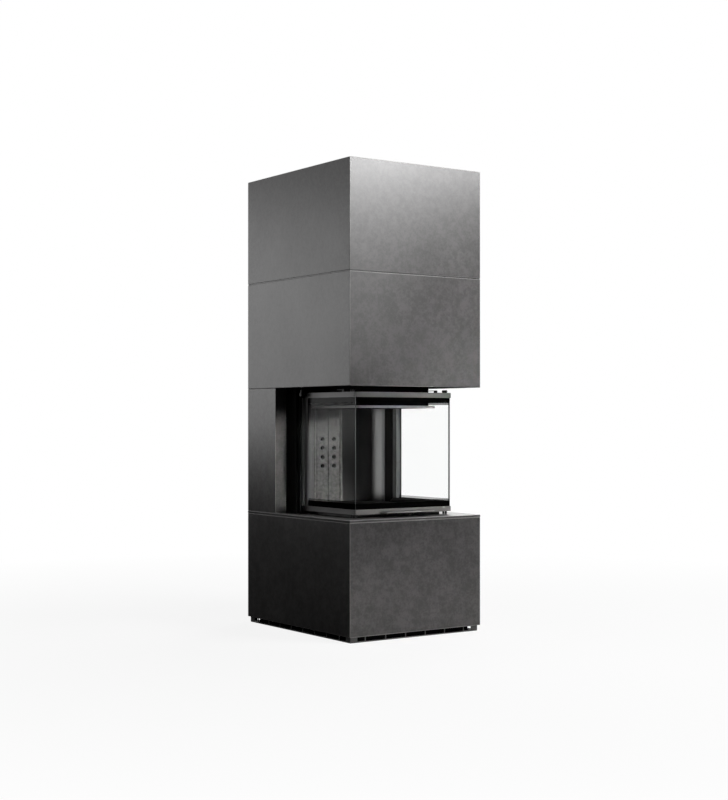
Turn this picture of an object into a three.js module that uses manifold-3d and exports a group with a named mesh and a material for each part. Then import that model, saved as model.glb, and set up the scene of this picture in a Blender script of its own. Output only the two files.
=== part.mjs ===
// A free-standing modular fireplace. Four stacked modules are clad in dark stone panels, and a three-sided
// glass door lifts into the upper body on two cables with counterweights.
// Millimetres, +Z up, +X to the right, +Y to the back. The origin is on the floor, under the middle.

import * as THREE from 'three';
import { mergeVertices } from 'three/addons/utils/BufferGeometryUtils.js';
import Module from 'manifold-3d';

const wasm = await Module();
wasm.setup();

// Overall body and its stack of modules, from the floor up
const width = 730;
const depth = 880;
const plinthHeight = 26;
const baseHeight = 500;
const slabThickness = 12;
const openingHeight = 588;
const middleHeight = 502;
const jointGap = 4;
const upperHeight = 494;

// Clearances shared by all pieces
const fitGap = 0.3;
const overrun = 1;

// Cladding panels
const panelThickness = 12;
const panelEdge = 2;
const mitreGap = 1;
const columnDepth = 257;
const revealWidth = 60;

// Plinth
const plinthInset = 10;
const plinthWall = 3;
const plinthStrip = 5;
const plinthHead = 2.5;
const plinthFlange = 35;
const plinthPost = 37;
const webWidth = 5;
const frontWebStart = 80;
const frontWebPitch = 110;
const sideWebStart = 90;
const sideWebPitch = 100;

// Steel sheet and frame tubes
const sheet = 3;
const tube = 30;

// Door
const doorInset = 97;
const doorGap = 14.6;
const doorHeight = 549.8;
const frameDepth = 25;
const bottomBar = 23;
const topBar = 23.5;
const columnGap = 103;
const glassSetback = 3;
const glassThickness = 5;
const grooveDepth = 8;
const stileDepth = 24.7;
const doorTravel = 500;

// Door handle
const handleLength = 270;
const handleReach = 53;
const handleThickness = 5;
const handleRise = 6.4;
const handleCorner = 8;

// Catches of the side panes, on the door's arms
const catchHeight = 13;
const catchWidth = 10;
const hingeBlockStart = 21;
const hingeBlockLength = 31;
const latchStart = 98;
const latchLength = 59;

// Shaft of the counterweights: the outer casing, the rails and the chamber's shell
const casingCover = 24;
const casingLip = 20;
const sideWallSetback = 17;
const rearGap = 12;
const railGap = 6;
const railDepth = 29.7;
const railWidth = 28;
const railOffset = 8;
const tongueThickness = 6;
const tongueReach = 28;
const tongueGap = 2;
const chamberStep = 10;
const blackWallDepth = 56;

// Chamber
const chamberDepth = 171;
const linerThickness = 20;
const linerHeight = 481;
const backPanelWidth = 80;
const airHoleRadius = 11;
const airHoleOffset = 33.7;
const airHolePitch = 43.7;
const airHoleRows = 4;
const airHoleStart = 174;
const grooveInset = 11;
const grooveWidth = 4;
const grooveCut = 3;
const stripWidth = 24;
const stripThickness = 2;

// Hearth, its box below the slab, and the air slider
const boxInset = 38;
const boxDrop = 86;
const hearthThickness = 12;
const hearthRimWidth = 22;
const hearthRise = 28;
const hearthClearance = 3;
const spigotRadius = 60;
const spigotLength = 60;
const spigotOffset = 130;
const airSlotWidth = 26;
const airSlotHeight = 10;
const airSlotPitch = 75;
const frontAirSlots = 5;
const sideAirSlots = 4;
const sliderThickness = 2.5;
const sliderHeight = 20;
const sliderTravel = 28;
const leverWidth = 12;
const leverReach = 30;
const leverThickness = 4;

// Grate and ash pan
const grateWidth = 200;
const grateDepth = 160;
const grateThickness = 10;
const grateRebate = 8;
const grateLedge = 10;
const grateBar = 8;
const grateSlots = 9;
const gratePlace = 20;
const panWidth = 170;
const panDepth = 130;
const panHeight = 95;
const panWall = 2;

// Smoke hood, baffle and flue
const hoodInset = 74;
const rimInset = 53;
const rimDrop = 72;
const rimHeight = 12;
const hoodHeight = 258;
const hoodTaper = 120;
const collarHeight = 60;
const flueRadius = 90;
const pipeWall = 2;
const pipeOverlap = 40;
const baffleThickness = 15;
const baffleRise = 60;
const baffleFrontGap = 80;
const ledge = 10;

// Counterweights, pulleys and cables
const weightGap = 2;
const weightEdgeGap = 4;
const weightFloorGap = 6;
const weightCorner = 15;
const weightDrop = 120;
const cableRadius = 2;
const cableInset = 9;
const cableSeat = 0.8;
const pulleyRadius = 72.5;
const pulleyWidth = 12;
const pulleyRim = 3.5;
const pulleyHeadroom = 118;
const axleRadius = 6;
const bracketWidth = 70;
const bracketThickness = 3;
const bracketMargin = 60;
const earHeight = 16;
const earSetback = 18;
const shellClearance = 14;

// Soffit and top cover
const soffitRecess = 2;
const doorSlotGap = 8;
const topRecess = 4;
const flueGap = 5;
const ventWidth = 14;
const ventLength = 180;
const ventPitch = 34;
const ventRows = 4;
const ventInset = 70;

// Roundness of turned pieces
const roundSides = 48;
const smallSides = 16;
const hoodSides = 32;
const cableSides = 8;
const cableSteps = 64;

// Levels above the floor
const slabBottom = plinthHeight + baseHeight;
const slabTop = slabBottom + slabThickness;
const bodyBottom = slabTop + openingHeight;
const middleTop = bodyBottom + middleHeight;
const upperBottom = middleTop + jointGap;
const bodyTop = upperBottom + upperHeight;
const soffitBottom = bodyBottom + soffitRecess;
const soffitTop = soffitBottom + sheet;
const coverTop = bodyTop - topRecess;
const coverBottom = coverTop - sheet;

// Places of the cladding
const halfWidth = width / 2;
const halfDepth = depth / 2;
const innerX = halfWidth - panelThickness - fitGap;
const innerY = halfDepth - panelThickness - fitGap;
const columnFront = halfDepth - columnDepth;
const columnInner = columnFront + panelThickness + fitGap;

// Places of the door, from its outer faces
const doorX = halfWidth - doorInset;
const doorFront = doorInset - halfDepth;
const doorBottom = slabTop + doorGap;
const doorTop = doorBottom + doorHeight;
const doorInnerX = doorX - frameDepth;
const armEnd = columnFront - columnGap;
const glassOuter = doorX - glassSetback;
const glassInner = glassOuter - glassThickness;
const glassFront = doorFront + glassSetback;
const glassBack = glassFront + glassThickness;
const glassBottom = doorBottom + bottomBar - grooveDepth;
const glassTop = doorTop - topBar + grooveDepth;
const stileFront = armEnd - stileDepth;
const stileBottom = doorBottom + bottomBar + fitGap;
const stileTop = doorTop - topBar - fitGap;

// Places of the casing, the rails and the chamber's shell
const casingX = halfWidth - revealWidth;
const casingFront = armEnd - casingCover;
const casingBack = innerY - tube - rearGap;
const sideWallFront = armEnd + sideWallSetback;
const shaftOuter = casingX - sheet;
const railFront = armEnd + railGap;
const railBack = railFront + railDepth;
const railX = doorX + railOffset;
const shellFront = railBack + fitGap;
const chamberX = doorX - chamberStep;
const pocketX = chamberX + linerThickness;
const pocketFront = shellFront + blackWallDepth;
const chamberBack = shellFront + chamberDepth;
const pocketBack = chamberBack + linerThickness;
const shaftInner = pocketX + sheet;

// Places of the pulleys, counterweights and cables
const cableX = (shaftInner + shaftOuter) / 2;
const cableY = armEnd - cableInset;
const pulleyY = cableY + pulleyRadius;
const weightY = pulleyY + pulleyRadius;
const pulleyFloor = pulleyRadius - cableRadius - cableSeat;
const pulleyEdge = pulleyRadius + pulleyRim;
const pulleyZ = doorTop + doorTravel + pulleyHeadroom;
const shaftTop = pulleyZ + pulleyEdge + fitGap;
const shellTop = pulleyZ - pulleyEdge - shellClearance;
const weightTop = pulleyZ - weightDrop;
const weightHeight = weightTop - slabTop - doorTravel - weightFloorGap;
const weightHalf = weightY - shellFront - sheet - weightEdgeGap;
const earOuter = cableX + cableRadius + cableInset / 2;
const earTop = doorTop;

// Places of the hearth
const boxX = doorX - boxInset;
const boxFront = doorFront + boxInset;
const boxBack = chamberBack;
const boxBottom = slabBottom - boxDrop;
const hearthBottom = slabTop + hearthRise;
const hearthTop = hearthBottom + hearthThickness;
const hearthX = doorInnerX - hearthClearance;
const hearthFront = doorFront + frameDepth + hearthClearance;
const airSlotZ = (slabTop + hearthBottom) / 2;
const linerBottom = hearthTop + fitGap;
const linerTop = linerBottom + linerHeight;
const roofBottom = linerTop + fitGap;

// Places of the hood and the flue
const hoodX = doorX - hoodInset;
const hoodFront = doorFront + hoodInset;
const hoodBack = chamberBack - fitGap;
const rimX = doorX - rimInset;
const rimFront = doorFront + rimInset;
const rimBottom = doorTop - rimDrop;
const hoodShoulder = rimBottom + hoodHeight;
const collarBottom = hoodShoulder + hoodTaper;
const collarTop = collarBottom + collarHeight;
const flueY = (hoodFront + hoodBack) / 2;
const pipeRadius = (flueRadius - sheet) * Math.cos(Math.PI / hoodSides) - fitGap;
const baffleBottom = rimBottom + baffleRise;

// Materials
const finish = (color, roughness, metalness) =>
  new THREE.MeshStandardMaterial({ color, roughness, metalness });
const darkStone = () => finish(0x57575a, 0.5, 0);
const blackSteel = () => finish(0x141415, 0.55, 0.6);
const doorGrey = () => finish(0x5c5c5e, 0.4, 0.7);
const greySteel = () => finish(0x8a8a8a, 0.4, 0.9);
const fireBoard = () => finish(0x9a958c, 0.9, 0);
const castIron = () => finish(0x1d1d1e, 0.7, 0.8);
const clearGlass = () => finish(0xb9c4c4, 0.05, 0);
const wireRope = () => finish(0x9c9ea0, 0.35, 0.9);

const fireplace = new THREE.Group();
const door = new THREE.Group();
fireplace.add(door);

function addPiece(group, name, geometry, material) {
  const piece = new THREE.Mesh(geometry, material);
  piece.name = name;
  group.add(piece);
  return piece;
}

// Shapes from three.js, turned into solids to join and cut them
function toSolid(geometry) {
  const bare = geometry.index ? geometry.toNonIndexed() : geometry.clone();
  bare.deleteAttribute('normal');
  bare.deleteAttribute('uv');
  const merged = mergeVertices(bare);
  return new wasm.Manifold(new wasm.Mesh({
    numProp: 3,
    vertProperties: merged.attributes.position.array,
    triVerts: new Uint32Array(merged.index.array),
  }));
}

function toGeometry(solid) {
  const mesh = solid.getMesh();
  const geometry = new THREE.BufferGeometry();
  geometry.setAttribute('position', new THREE.BufferAttribute(mesh.vertProperties, 3));
  geometry.setIndex(new THREE.BufferAttribute(mesh.triVerts, 1));
  return geometry;
}

function blockGeometry([x0, x1], [y0, y1], [z0, z1]) {
  const block = new THREE.BoxGeometry(x1 - x0, y1 - y0, z1 - z0);
  return block.translate((x0 + x1) / 2, (y0 + y1) / 2, (z0 + z1) / 2);
}

const blockSolid = (x, y, z) => toSolid(blockGeometry(x, y, z));

// An outline seen from above, raised from one level to another
function prismGeometry(points, bottom, top) {
  const shape = new THREE.Shape(points.map(([x, y]) => new THREE.Vector2(x, y)));
  const prism = new THREE.ExtrudeGeometry(shape, { depth: top - bottom, bevelEnabled: false });
  return prism.translate(0, 0, bottom);
}

const prismSolid = (points, bottom, top) => toSolid(prismGeometry(points, bottom, top));

function uprightCylinder(radius, x, y, bottom, top, sides) {
  const cylinder = new THREE.CylinderGeometry(radius, radius, top - bottom, sides);
  return toSolid(cylinder.rotateX(Math.PI / 2).translate(x, y, (bottom + top) / 2));
}

// A closed body through rings of points, each ring counter-clockwise at its own level, from low to high
function loftGeometry(rings) {
  const corners = [];
  const count = rings[0].length;
  const flat = rings[0].map(([x, y]) => new THREE.Vector2(x, y));
  const cap = THREE.ShapeUtils.triangulateShape(flat, []);
  for (const [a, b, c] of cap) {
    corners.push(rings[0][a], rings[0][c], rings[0][b]);
    corners.push(rings.at(-1)[a], rings.at(-1)[b], rings.at(-1)[c]);
  }
  for (let level = 0; level + 1 < rings.length; level += 1) {
    for (let i = 0; i < count; i += 1) {
      const next = (i + 1) % count;
      const [low, high] = [rings[level], rings[level + 1]];
      corners.push(low[i], low[next], high[next], low[i], high[next], high[i]);
    }
  }
  const geometry = new THREE.BufferGeometry();
  geometry.setAttribute('position', new THREE.Float32BufferAttribute(corners.flat(), 3));
  return geometry;
}

// Bent sheet: a path seen from above, with its thickness on the right-hand side
function sheetOutline(path, thickness) {
  const side = path.slice(1).map((p, i) => {
    const run = new THREE.Vector2(p[0] - path[i][0], p[1] - path[i][1]).normalize();
    return new THREE.Vector2(run.y, -run.x);
  });
  const moved = path.map(([x, y], i) => {
    const before = side[Math.max(i - 1, 0)];
    const after = side[Math.min(i, side.length - 1)];
    const reach = thickness / (1 + before.dot(after));
    return [x + (before.x + after.x) * reach, y + (before.y + after.y) * reach];
  });
  return [...path, ...moved.reverse()];
}

const mirrored = (path) => [...path, ...path.map(([x, y]) => [-x, y]).reverse()];

// Cladding panels. Local X runs along the outer face, local Y goes into the body.
function panelRing(length, startMitred, endMitred, inset, level) {
  const slit = mitreGap / 2 / Math.SQRT2;
  const end = (mitred) => mitred
    ? [[panelEdge + inset, inset], [panelEdge / 2 + inset + slit, panelEdge / 2 + inset - slit],
      [panelThickness + 2 * slit, panelThickness]]
    : [[fitGap + panelEdge + inset, inset], [fitGap, panelEdge + inset], [fitGap, panelThickness]];
  const start = end(startMitred);
  const finishEnd = end(endMitred).map(([x, y]) => [length - x, y]);
  const ring = [...start.reverse(), ...finishEnd];
  return ring.map(([x, y]) => [x, y, level]);
}

function panelGeometry(length, height, startMitred, endMitred) {
  const ring = (inset, level) => panelRing(length, startMitred, endMitred, inset, level);
  return loftGeometry([
    ring(panelEdge, 0), ring(0, panelEdge), ring(0, height - panelEdge), ring(panelEdge, height),
  ]);
}

// One panel, its outer face from one point to the next, counter-clockwise round the body
function addPanel(name, from, to, bottom, height, mitres) {
  const run = new THREE.Vector2(to[0] - from[0], to[1] - from[1]);
  const geometry = panelGeometry(run.length(), height - fitGap, ...mitres);
  const panel = addPiece(fireplace, name, geometry, darkStone());
  panel.position.set(from[0], from[1], bottom + fitGap);
  panel.rotation.z = run.angle();
}

const corners = {
  frontLeft: [-halfWidth, -halfDepth],
  frontRight: [halfWidth, -halfDepth],
  backRight: [halfWidth, halfDepth],
  backLeft: [-halfWidth, halfDepth],
  columnRight: [halfWidth, columnFront],
  columnLeft: [-halfWidth, columnFront],
  revealRight: [casingX, columnFront],
  revealLeft: [-casingX, columnFront],
};

function addModule(name, bottom, height) {
  const { frontLeft, frontRight, backRight, backLeft } = corners;
  const sides = {
    front: [frontLeft, frontRight],
    right: [frontRight, backRight],
    back: [backRight, backLeft],
    left: [backLeft, frontLeft],
  };
  for (const [side, [from, to]] of Object.entries(sides))
    addPanel(`${name}_panel_${side}`, from, to, bottom, height, [true, true]);
}

function addColumn() {
  const { columnRight, columnLeft, backRight, backLeft, revealRight, revealLeft } = corners;
  const stack = [slabTop, openingHeight];
  addPanel('column_panel_right', columnRight, backRight, ...stack, [true, true]);
  addPanel('column_panel_back', backRight, backLeft, ...stack, [true, true]);
  addPanel('column_panel_left', backLeft, columnLeft, ...stack, [true, true]);
  addPanel('reveal_panel_left', columnLeft, revealLeft, ...stack, [true, false]);
  addPanel('reveal_panel_right', revealRight, columnRight, ...stack, [false, true]);
}

// Base slab, with the way down for the hearth's box
function addBaseSlab() {
  const ring = (inset, level) => [
    [inset - halfWidth, inset - halfDepth, level], [halfWidth - inset, inset - halfDepth, level],
    [halfWidth - inset, halfDepth - inset, level], [inset - halfWidth, halfDepth - inset, level],
  ];
  const underside = slabBottom + fitGap;
  const plate = toSolid(loftGeometry([
    ring(panelEdge, underside), ring(0, underside + panelEdge),
    ring(0, slabTop - panelEdge), ring(panelEdge, slabTop),
  ]));
  const hole = blockSolid(
    [-boxX - fitGap, boxX + fitGap], [boxFront - fitGap, boxBack + fitGap],
    [slabBottom - overrun, slabTop + overrun]);
  addPiece(fireplace, 'base_slab', toGeometry(plate.subtract(hole)), darkStone());
}

// Plinth: a channel of steel, open below, with slots for the air in its outer wall
function webPlaces(start, pitch, length) {
  const places = [];
  for (let place = start; place < length - plinthPost; place += pitch) places.push(place);
  return places;
}

function slotSpans(start, pitch, length) {
  const webs = webPlaces(start, pitch, length);
  const starts = [plinthPost, ...webs.map((place) => place + webWidth / 2)];
  const ends = [...webs.map((place) => place - webWidth / 2), length - plinthPost];
  return starts.map((from, i) => [from, ends[i]]).filter(([from, to]) => to > from + webWidth);
}

function addPlinth() {
  const x = halfWidth - plinthInset;
  const y = halfDepth - plinthInset;
  const head = plinthHeight - plinthHead;
  const within = (inset, levels) =>
    blockSolid([inset - x, x - inset], [inset - y, y - inset], levels);
  const channel = within(plinthWall, [-overrun, head])
    .subtract(within(plinthFlange - plinthWall, [-2 * overrun, head + overrun]));
  let ring = within(0, [0, plinthHeight]).subtract(channel)
    .subtract(within(plinthFlange, [-overrun, plinthHeight + overrun]));
  const level = [plinthStrip, head];
  for (const [from, to] of slotSpans(frontWebStart, frontWebPitch, 2 * x)) {
    const across = [from - x, to - x];
    ring = ring.subtract(blockSolid(across, [-y - overrun, plinthWall - y + overrun], level));
    ring = ring.subtract(blockSolid(across, [y - plinthWall - overrun, y + overrun], level));
  }
  for (const [from, to] of slotSpans(sideWebStart, sideWebPitch, 2 * y)) {
    const along = [from - y, to - y];
    ring = ring.subtract(blockSolid([-x - overrun, plinthWall - x + overrun], along, level));
    ring = ring.subtract(blockSolid([x - plinthWall - overrun, x + overrun], along, level));
  }
  addPiece(fireplace, 'plinth', toGeometry(ring), blackSteel());
}

// Frames of square tube, open on all six sides
function tubeFrame([x0, x1], [y0, y1], levels) {
  let frame = blockSolid([x0, x1], [y0, y1], [levels[0], levels.at(-1)]);
  const inside = ([low, high]) => [low + tube, high - tube];
  const past = ([low, high]) => [low - overrun, high + overrun];
  const whole = [levels[0], levels.at(-1)];
  frame = frame.subtract(blockSolid(inside([x0, x1]), inside([y0, y1]), past(whole)));
  levels.slice(1).forEach((high, i) => {
    const low = i === 0 ? levels[0] : levels[i] - tube;
    const window = inside([low, high]);
    frame = frame.subtract(blockSolid(past([x0, x1]), inside([y0, y1]), window));
    frame = frame.subtract(blockSolid(inside([x0, x1]), past([y0, y1]), window));
  });
  return frame;
}

function addFrames() {
  const x = [-innerX, innerX];
  const y = [-innerY, innerY];
  const base = tubeFrame(x, y, [plinthHeight + fitGap, slabBottom]);
  addPiece(fireplace, 'base_frame', toGeometry(base), blackSteel());

  const columnLevels = [slabTop + fitGap, soffitBottom - fitGap];
  const column = tubeFrame(x, [columnInner, innerY], columnLevels).subtract(blockSolid(
    [tube - innerX, innerX - tube], [columnInner - overrun, innerY - tube],
    [slabTop, soffitBottom]));
  addPiece(fireplace, 'column_frame', toGeometry(column), blackSteel());

  const ringMiddle = upperBottom + tube / 2;
  const upper = tubeFrame(x, y, [soffitTop + fitGap, ringMiddle, coverBottom - fitGap]);
  addPiece(fireplace, 'upper_frame', toGeometry(upper), blackSteel());
}

// Soffit: closes the body's underside and leaves the way up for the door and the casing
function addSoffit() {
  const slotX = doorX + doorSlotGap;
  const plate = blockSolid([-innerX, innerX], [-innerY, columnFront], [soffitBottom, soffitTop]);
  const through = [soffitBottom - overrun, soffitTop + overrun];
  const doorWay = blockSolid(
    [-slotX, slotX], [doorFront - doorSlotGap, columnFront + overrun], through);
  const casingWay = blockSolid(
    [-casingX - fitGap, casingX + fitGap], [casingFront - fitGap, columnFront + overrun], through);
  addPiece(fireplace, 'soffit_plate',
    toGeometry(plate.subtract(doorWay).subtract(casingWay)), blackSteel());
}

// Top cover, with the flue's hole and slots for warm air on both sides
function addTopCover() {
  const through = [coverBottom - overrun, coverTop + overrun];
  let plate = blockSolid([-innerX, innerX], [-innerY, innerY], [coverBottom, coverTop]);
  plate = plate.subtract(uprightCylinder(
    flueRadius + flueGap, 0, flueY, ...through, roundSides));
  for (const side of [-1, 1]) {
    for (let row = 0; row < ventRows; row += 1) {
      const y = side * (innerY - ventInset - row * ventPitch);
      for (const start of [-ventLength - ventWidth, ventWidth]) {
        plate = plate.subtract(blockSolid(
          [start, start + ventLength], [y - ventWidth / 2, y + ventWidth / 2], through));
      }
    }
  }
  addPiece(fireplace, 'top_cover', toGeometry(plate), blackSteel());
}

// Door frames: a bar round the front and both sides, with a groove for the panes
function doorBar(bottom, top) {
  const outer = [[doorX, armEnd], [doorInnerX, armEnd], [doorInnerX, doorFront + frameDepth]];
  const outline = [[doorX, doorFront], ...outer];
  return prismSolid(mirrored(outline), bottom, top);
}

function paneGroove(bottom, top) {
  const outer = glassOuter + fitGap;
  const inner = glassInner - fitGap;
  const front = glassFront - fitGap;
  const outline = [
    [outer, front], [outer, stileFront], [inner, stileFront], [inner, glassBack + fitGap],
  ];
  return prismSolid(mirrored(outline), bottom, top);
}

const bothSides = (solid) => solid.add(solid.mirror([1, 0, 0]));

function addDoorFrames() {
  const inside = doorTop - topBar;
  let top = doorBar(inside, doorTop).subtract(paneGroove(inside - overrun, glassTop + fitGap));
  const catchX = [doorX - catchWidth - glassSetback, doorX - glassSetback];
  const hingeY = [doorFront + hingeBlockStart, doorFront + hingeBlockStart + hingeBlockLength];
  const latchY = [doorFront + latchStart, doorFront + latchStart + latchLength];
  const above = [doorTop - overrun, doorTop + catchHeight];
  const ear = blockSolid([doorX - overrun, earOuter], [armEnd - earSetback, armEnd],
    [earTop - earHeight, earTop]);
  const fittings = blockSolid(catchX, hingeY, above).add(blockSolid(catchX, latchY, above)).add(ear);
  top = top.add(bothSides(fittings));
  addPiece(door, 'door_top_frame', toGeometry(top), doorGrey());

  const ledgeTop = doorBottom + bottomBar;
  const rest = blockSolid(catchX, hingeY, [slabTop + fitGap, doorBottom + overrun]);
  const bottom = doorBar(doorBottom, ledgeTop)
    .subtract(paneGroove(glassBottom - fitGap, ledgeTop + overrun))
    .add(bothSides(rest));
  addPiece(door, 'door_bottom_frame', toGeometry(bottom), doorGrey());
}

function addPanes() {
  const height = [glassBottom, glassTop];
  addPiece(door, 'front_glass',
    blockGeometry([-glassOuter, glassOuter], [glassFront, glassBack], height), clearGlass());
  const run = [glassBack + fitGap, stileFront - fitGap];
  addPiece(door, 'left_glass', blockGeometry([-glassOuter, -glassInner], run, height), clearGlass());
  addPiece(door, 'right_glass', blockGeometry([glassInner, glassOuter], run, height), clearGlass());
}

// Rear stiles of the door. Each has a tongue that runs in its guide rail.
function addStiles() {
  const flange = tongueThickness / 2;
  const tongueEnd = armEnd + tongueReach;
  const outline = [
    [doorInnerX, stileFront], [doorX, stileFront], [doorX, armEnd - flange],
    [railX + flange, armEnd - flange], [railX + flange, tongueEnd],
    [railX - flange, tongueEnd], [railX - flange, armEnd], [doorInnerX, armEnd],
  ];
  const flipped = outline.map(([x, y]) => [-x, y]);
  addPiece(door, 'door_stile_left', prismGeometry(flipped, stileBottom, stileTop), greySteel());
  addPiece(door, 'door_stile_right', prismGeometry(outline, stileBottom, stileTop), greySteel());
}

function addHandle() {
  const half = handleLength / 2;
  const front = doorFront - handleReach;
  const plate = new THREE.Shape();
  plate.moveTo(half, doorFront - fitGap);
  plate.lineTo(-half, doorFront - fitGap);
  plate.lineTo(-half, front + handleCorner);
  plate.absarc(handleCorner - half, front + handleCorner, handleCorner, Math.PI, Math.PI * 1.5);
  plate.lineTo(half - handleCorner, front);
  plate.absarc(half - handleCorner, front + handleCorner, handleCorner, -Math.PI / 2, 0);
  const geometry = new THREE.ExtrudeGeometry(plate,
    { depth: handleThickness, bevelEnabled: false, curveSegments: cableSides });
  addPiece(door, 'door_handle', geometry.translate(0, 0, doorBottom + handleRise), doorGrey());
}

// Casing: the outer walls of the shafts in which the counterweights run. Inside the body they reach
// forward over the cables; beside the door they start behind its stiles, next to the rails.
function casingWalls(lipEnd, front, bottom, top) {
  const path = mirrored([[lipEnd, front], [casingX, front], [casingX, casingBack]]).reverse();
  return prismSolid(sheetOutline(path, sheet), bottom, top);
}

function addCasing() {
  const besideRail = railX + railWidth / 2 + fitGap;
  const beside = casingWalls(besideRail, sideWallFront, slabTop + fitGap, soffitBottom + overrun);
  const above = casingWalls(casingX - casingLip, casingFront, soffitBottom, shaftTop);
  addPiece(fireplace, 'firebox_casing', toGeometry(beside.add(above)), blackSteel());
}

// Shell: the chamber's steel walls, with pockets for the liners and a roof round the hood
function addShell() {
  const inner = [
    [chamberX, shellFront], [chamberX, pocketFront], [pocketX, pocketFront], [pocketX, pocketBack],
  ];
  const path = mirrored([[shaftOuter - fitGap, shellFront], ...inner]);
  const walls = prismSolid(sheetOutline(path, sheet), slabTop + fitGap, shellTop);
  const roof = prismSolid(mirrored(sheetInside(inner)), roofBottom, roofBottom + sheet);
  const hoodWay = blockSolid([-hoodX - fitGap, hoodX + fitGap], [shellFront - sheet, chamberBack],
    [roofBottom - overrun, roofBottom + sheet + overrun]);
  addPiece(fireplace, 'chamber_shell', toGeometry(walls.add(roof.subtract(hoodWay))), blackSteel());
}

// The roof's outline, a little into the walls that it joins
const sheetInside = (inner) => inner.map(([x, y]) =>
  [x + overrun, y === pocketBack ? y + overrun : y]);

// Guide rails: channels open to the front, for the tongues of the door's stiles
function addRails() {
  const [left, right] = [railX - railWidth / 2, railX + railWidth / 2];
  const mouth = tongueThickness / 2 + tongueGap;
  const path = [
    [railX - mouth, railFront], [left, railFront], [left, railBack], [right, railBack],
    [right, railFront], [railX + mouth, railFront],
  ];
  const outline = sheetOutline(path, sheet);
  const flipped = outline.map(([x, y]) => [-x, y]);
  const levels = [slabTop + fitGap, shellTop];
  addPiece(fireplace, 'guide_rail_left', prismGeometry(flipped, ...levels), greySteel());
  addPiece(fireplace, 'guide_rail_right', prismGeometry(outline, ...levels), greySteel());
}

// Liners of fire board: two perforated panels at the back, plain ones beside them and on the sides
function perforatedLiner(side) {
  const inner = fitGap / 2;
  const outer = backPanelWidth - fitGap / 2;
  const groove = outer - grooveInset;
  const outline = [
    [inner, chamberBack], [groove - grooveWidth, chamberBack],
    [groove - grooveWidth, chamberBack + grooveCut], [groove, chamberBack + grooveCut],
    [groove, chamberBack], [outer, chamberBack], [outer, pocketBack - fitGap],
    [inner, pocketBack - fitGap],
  ].map(([x, y]) => [side * x, y]);
  let board = prismSolid(outline, linerBottom, linerTop);
  for (let row = 0; row < airHoleRows; row += 1) {
    const z = hearthTop + airHoleStart + row * airHolePitch;
    const bore = new THREE.CylinderGeometry(
      airHoleRadius, airHoleRadius, 2 * linerThickness, smallSides);
    board = board.subtract(toSolid(bore.translate(side * airHoleOffset, pocketBack, z)));
  }
  return toGeometry(board);
}

function addLiners() {
  for (const [name, side] of [['left', -1], ['right', 1]]) {
    const span = (a, b) => side > 0 ? [a, b] : [-b, -a];
    const levels = [linerBottom, linerTop];
    const back = [chamberBack, pocketBack - fitGap];
    const sideRun = [pocketFront + fitGap, pocketBack - fitGap];
    const stripRun = [pocketFront - fitGap, pocketFront - fitGap + stripWidth];
    addPiece(fireplace, `back_liner_${name}`, perforatedLiner(side), fireBoard());
    addPiece(fireplace, `corner_liner_${name}`, blockGeometry(
      span(backPanelWidth + fitGap / 2, chamberX - fitGap), back, levels), fireBoard());
    addPiece(fireplace, `side_liner_${name}`, blockGeometry(
      span(chamberX, pocketX - fitGap), sideRun, levels), fireBoard());
    addPiece(fireplace, `liner_strip_${name}`, blockGeometry(
      span(chamberX - fitGap - stripThickness, chamberX - fitGap), stripRun, levels), greySteel());
  }
}

// Hearth's box: goes down through the slab, with the air slots above it and the duct's spigot below
function airSlot(centre, turned) {
  const half = (airSlotWidth - airSlotHeight) / 2;
  const radius = airSlotHeight / 2;
  const slot = new THREE.Shape();
  slot.absarc(half, 0, radius, -Math.PI / 2, Math.PI / 2);
  slot.absarc(-half, 0, radius, Math.PI / 2, Math.PI * 1.5);
  const cutter = new THREE.ExtrudeGeometry(slot,
    { depth: 2 * tube, bevelEnabled: false, curveSegments: cableSides / 2 });
  cutter.translate(0, 0, -tube).rotateX(Math.PI / 2);
  if (turned) cutter.rotateZ(Math.PI / 2);
  return toSolid(cutter.translate(...centre));
}

const slotPlaces = (count) =>
  Array.from({ length: count }, (_, i) => (i - (count - 1) / 2) * airSlotPitch);

const leverSlotZ = () => slabTop + leverThickness + fitGap;

function addHearthBox() {
  const outside = prismSolid([[-boxX, boxFront], [boxX, boxFront], [boxX, boxBack], [-boxX, boxBack]],
    boxBottom, hearthBottom - fitGap);
  const inside = blockSolid([sheet - boxX, boxX - sheet], [boxFront + sheet, boxBack - sheet],
    [boxBottom + sheet, hearthBottom + overrun]);
  let box = outside.subtract(inside);
  for (const x of slotPlaces(frontAirSlots))
    box = box.subtract(airSlot([x, boxFront, airSlotZ], false));
  for (const y of slotPlaces(sideAirSlots)) {
    box = box.subtract(airSlot([-boxX, y, airSlotZ], true));
    box = box.subtract(airSlot([boxX, y, airSlotZ], true));
  }
  const leverX = airSlotPitch / 2;
  const leverHalf = leverWidth / 2 + sliderTravel + fitGap;
  box = box.subtract(blockSolid([leverX - leverHalf, leverX + leverHalf],
    [boxFront - overrun, boxFront + sheet + overrun],
    [leverSlotZ() - fitGap, leverSlotZ() + leverThickness + fitGap]));
  const spigot = uprightCylinder(spigotRadius, 0, spigotOffset,
    boxBottom - spigotLength, boxBottom + overrun, roundSides);
  const bore = uprightCylinder(spigotRadius - sheet, 0, spigotOffset,
    boxBottom - spigotLength - overrun, boxBottom + sheet + overrun, roundSides);
  box = box.add(spigot).subtract(bore);
  addPiece(fireplace, 'hearth_box', toGeometry(box), blackSteel());
}

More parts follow.
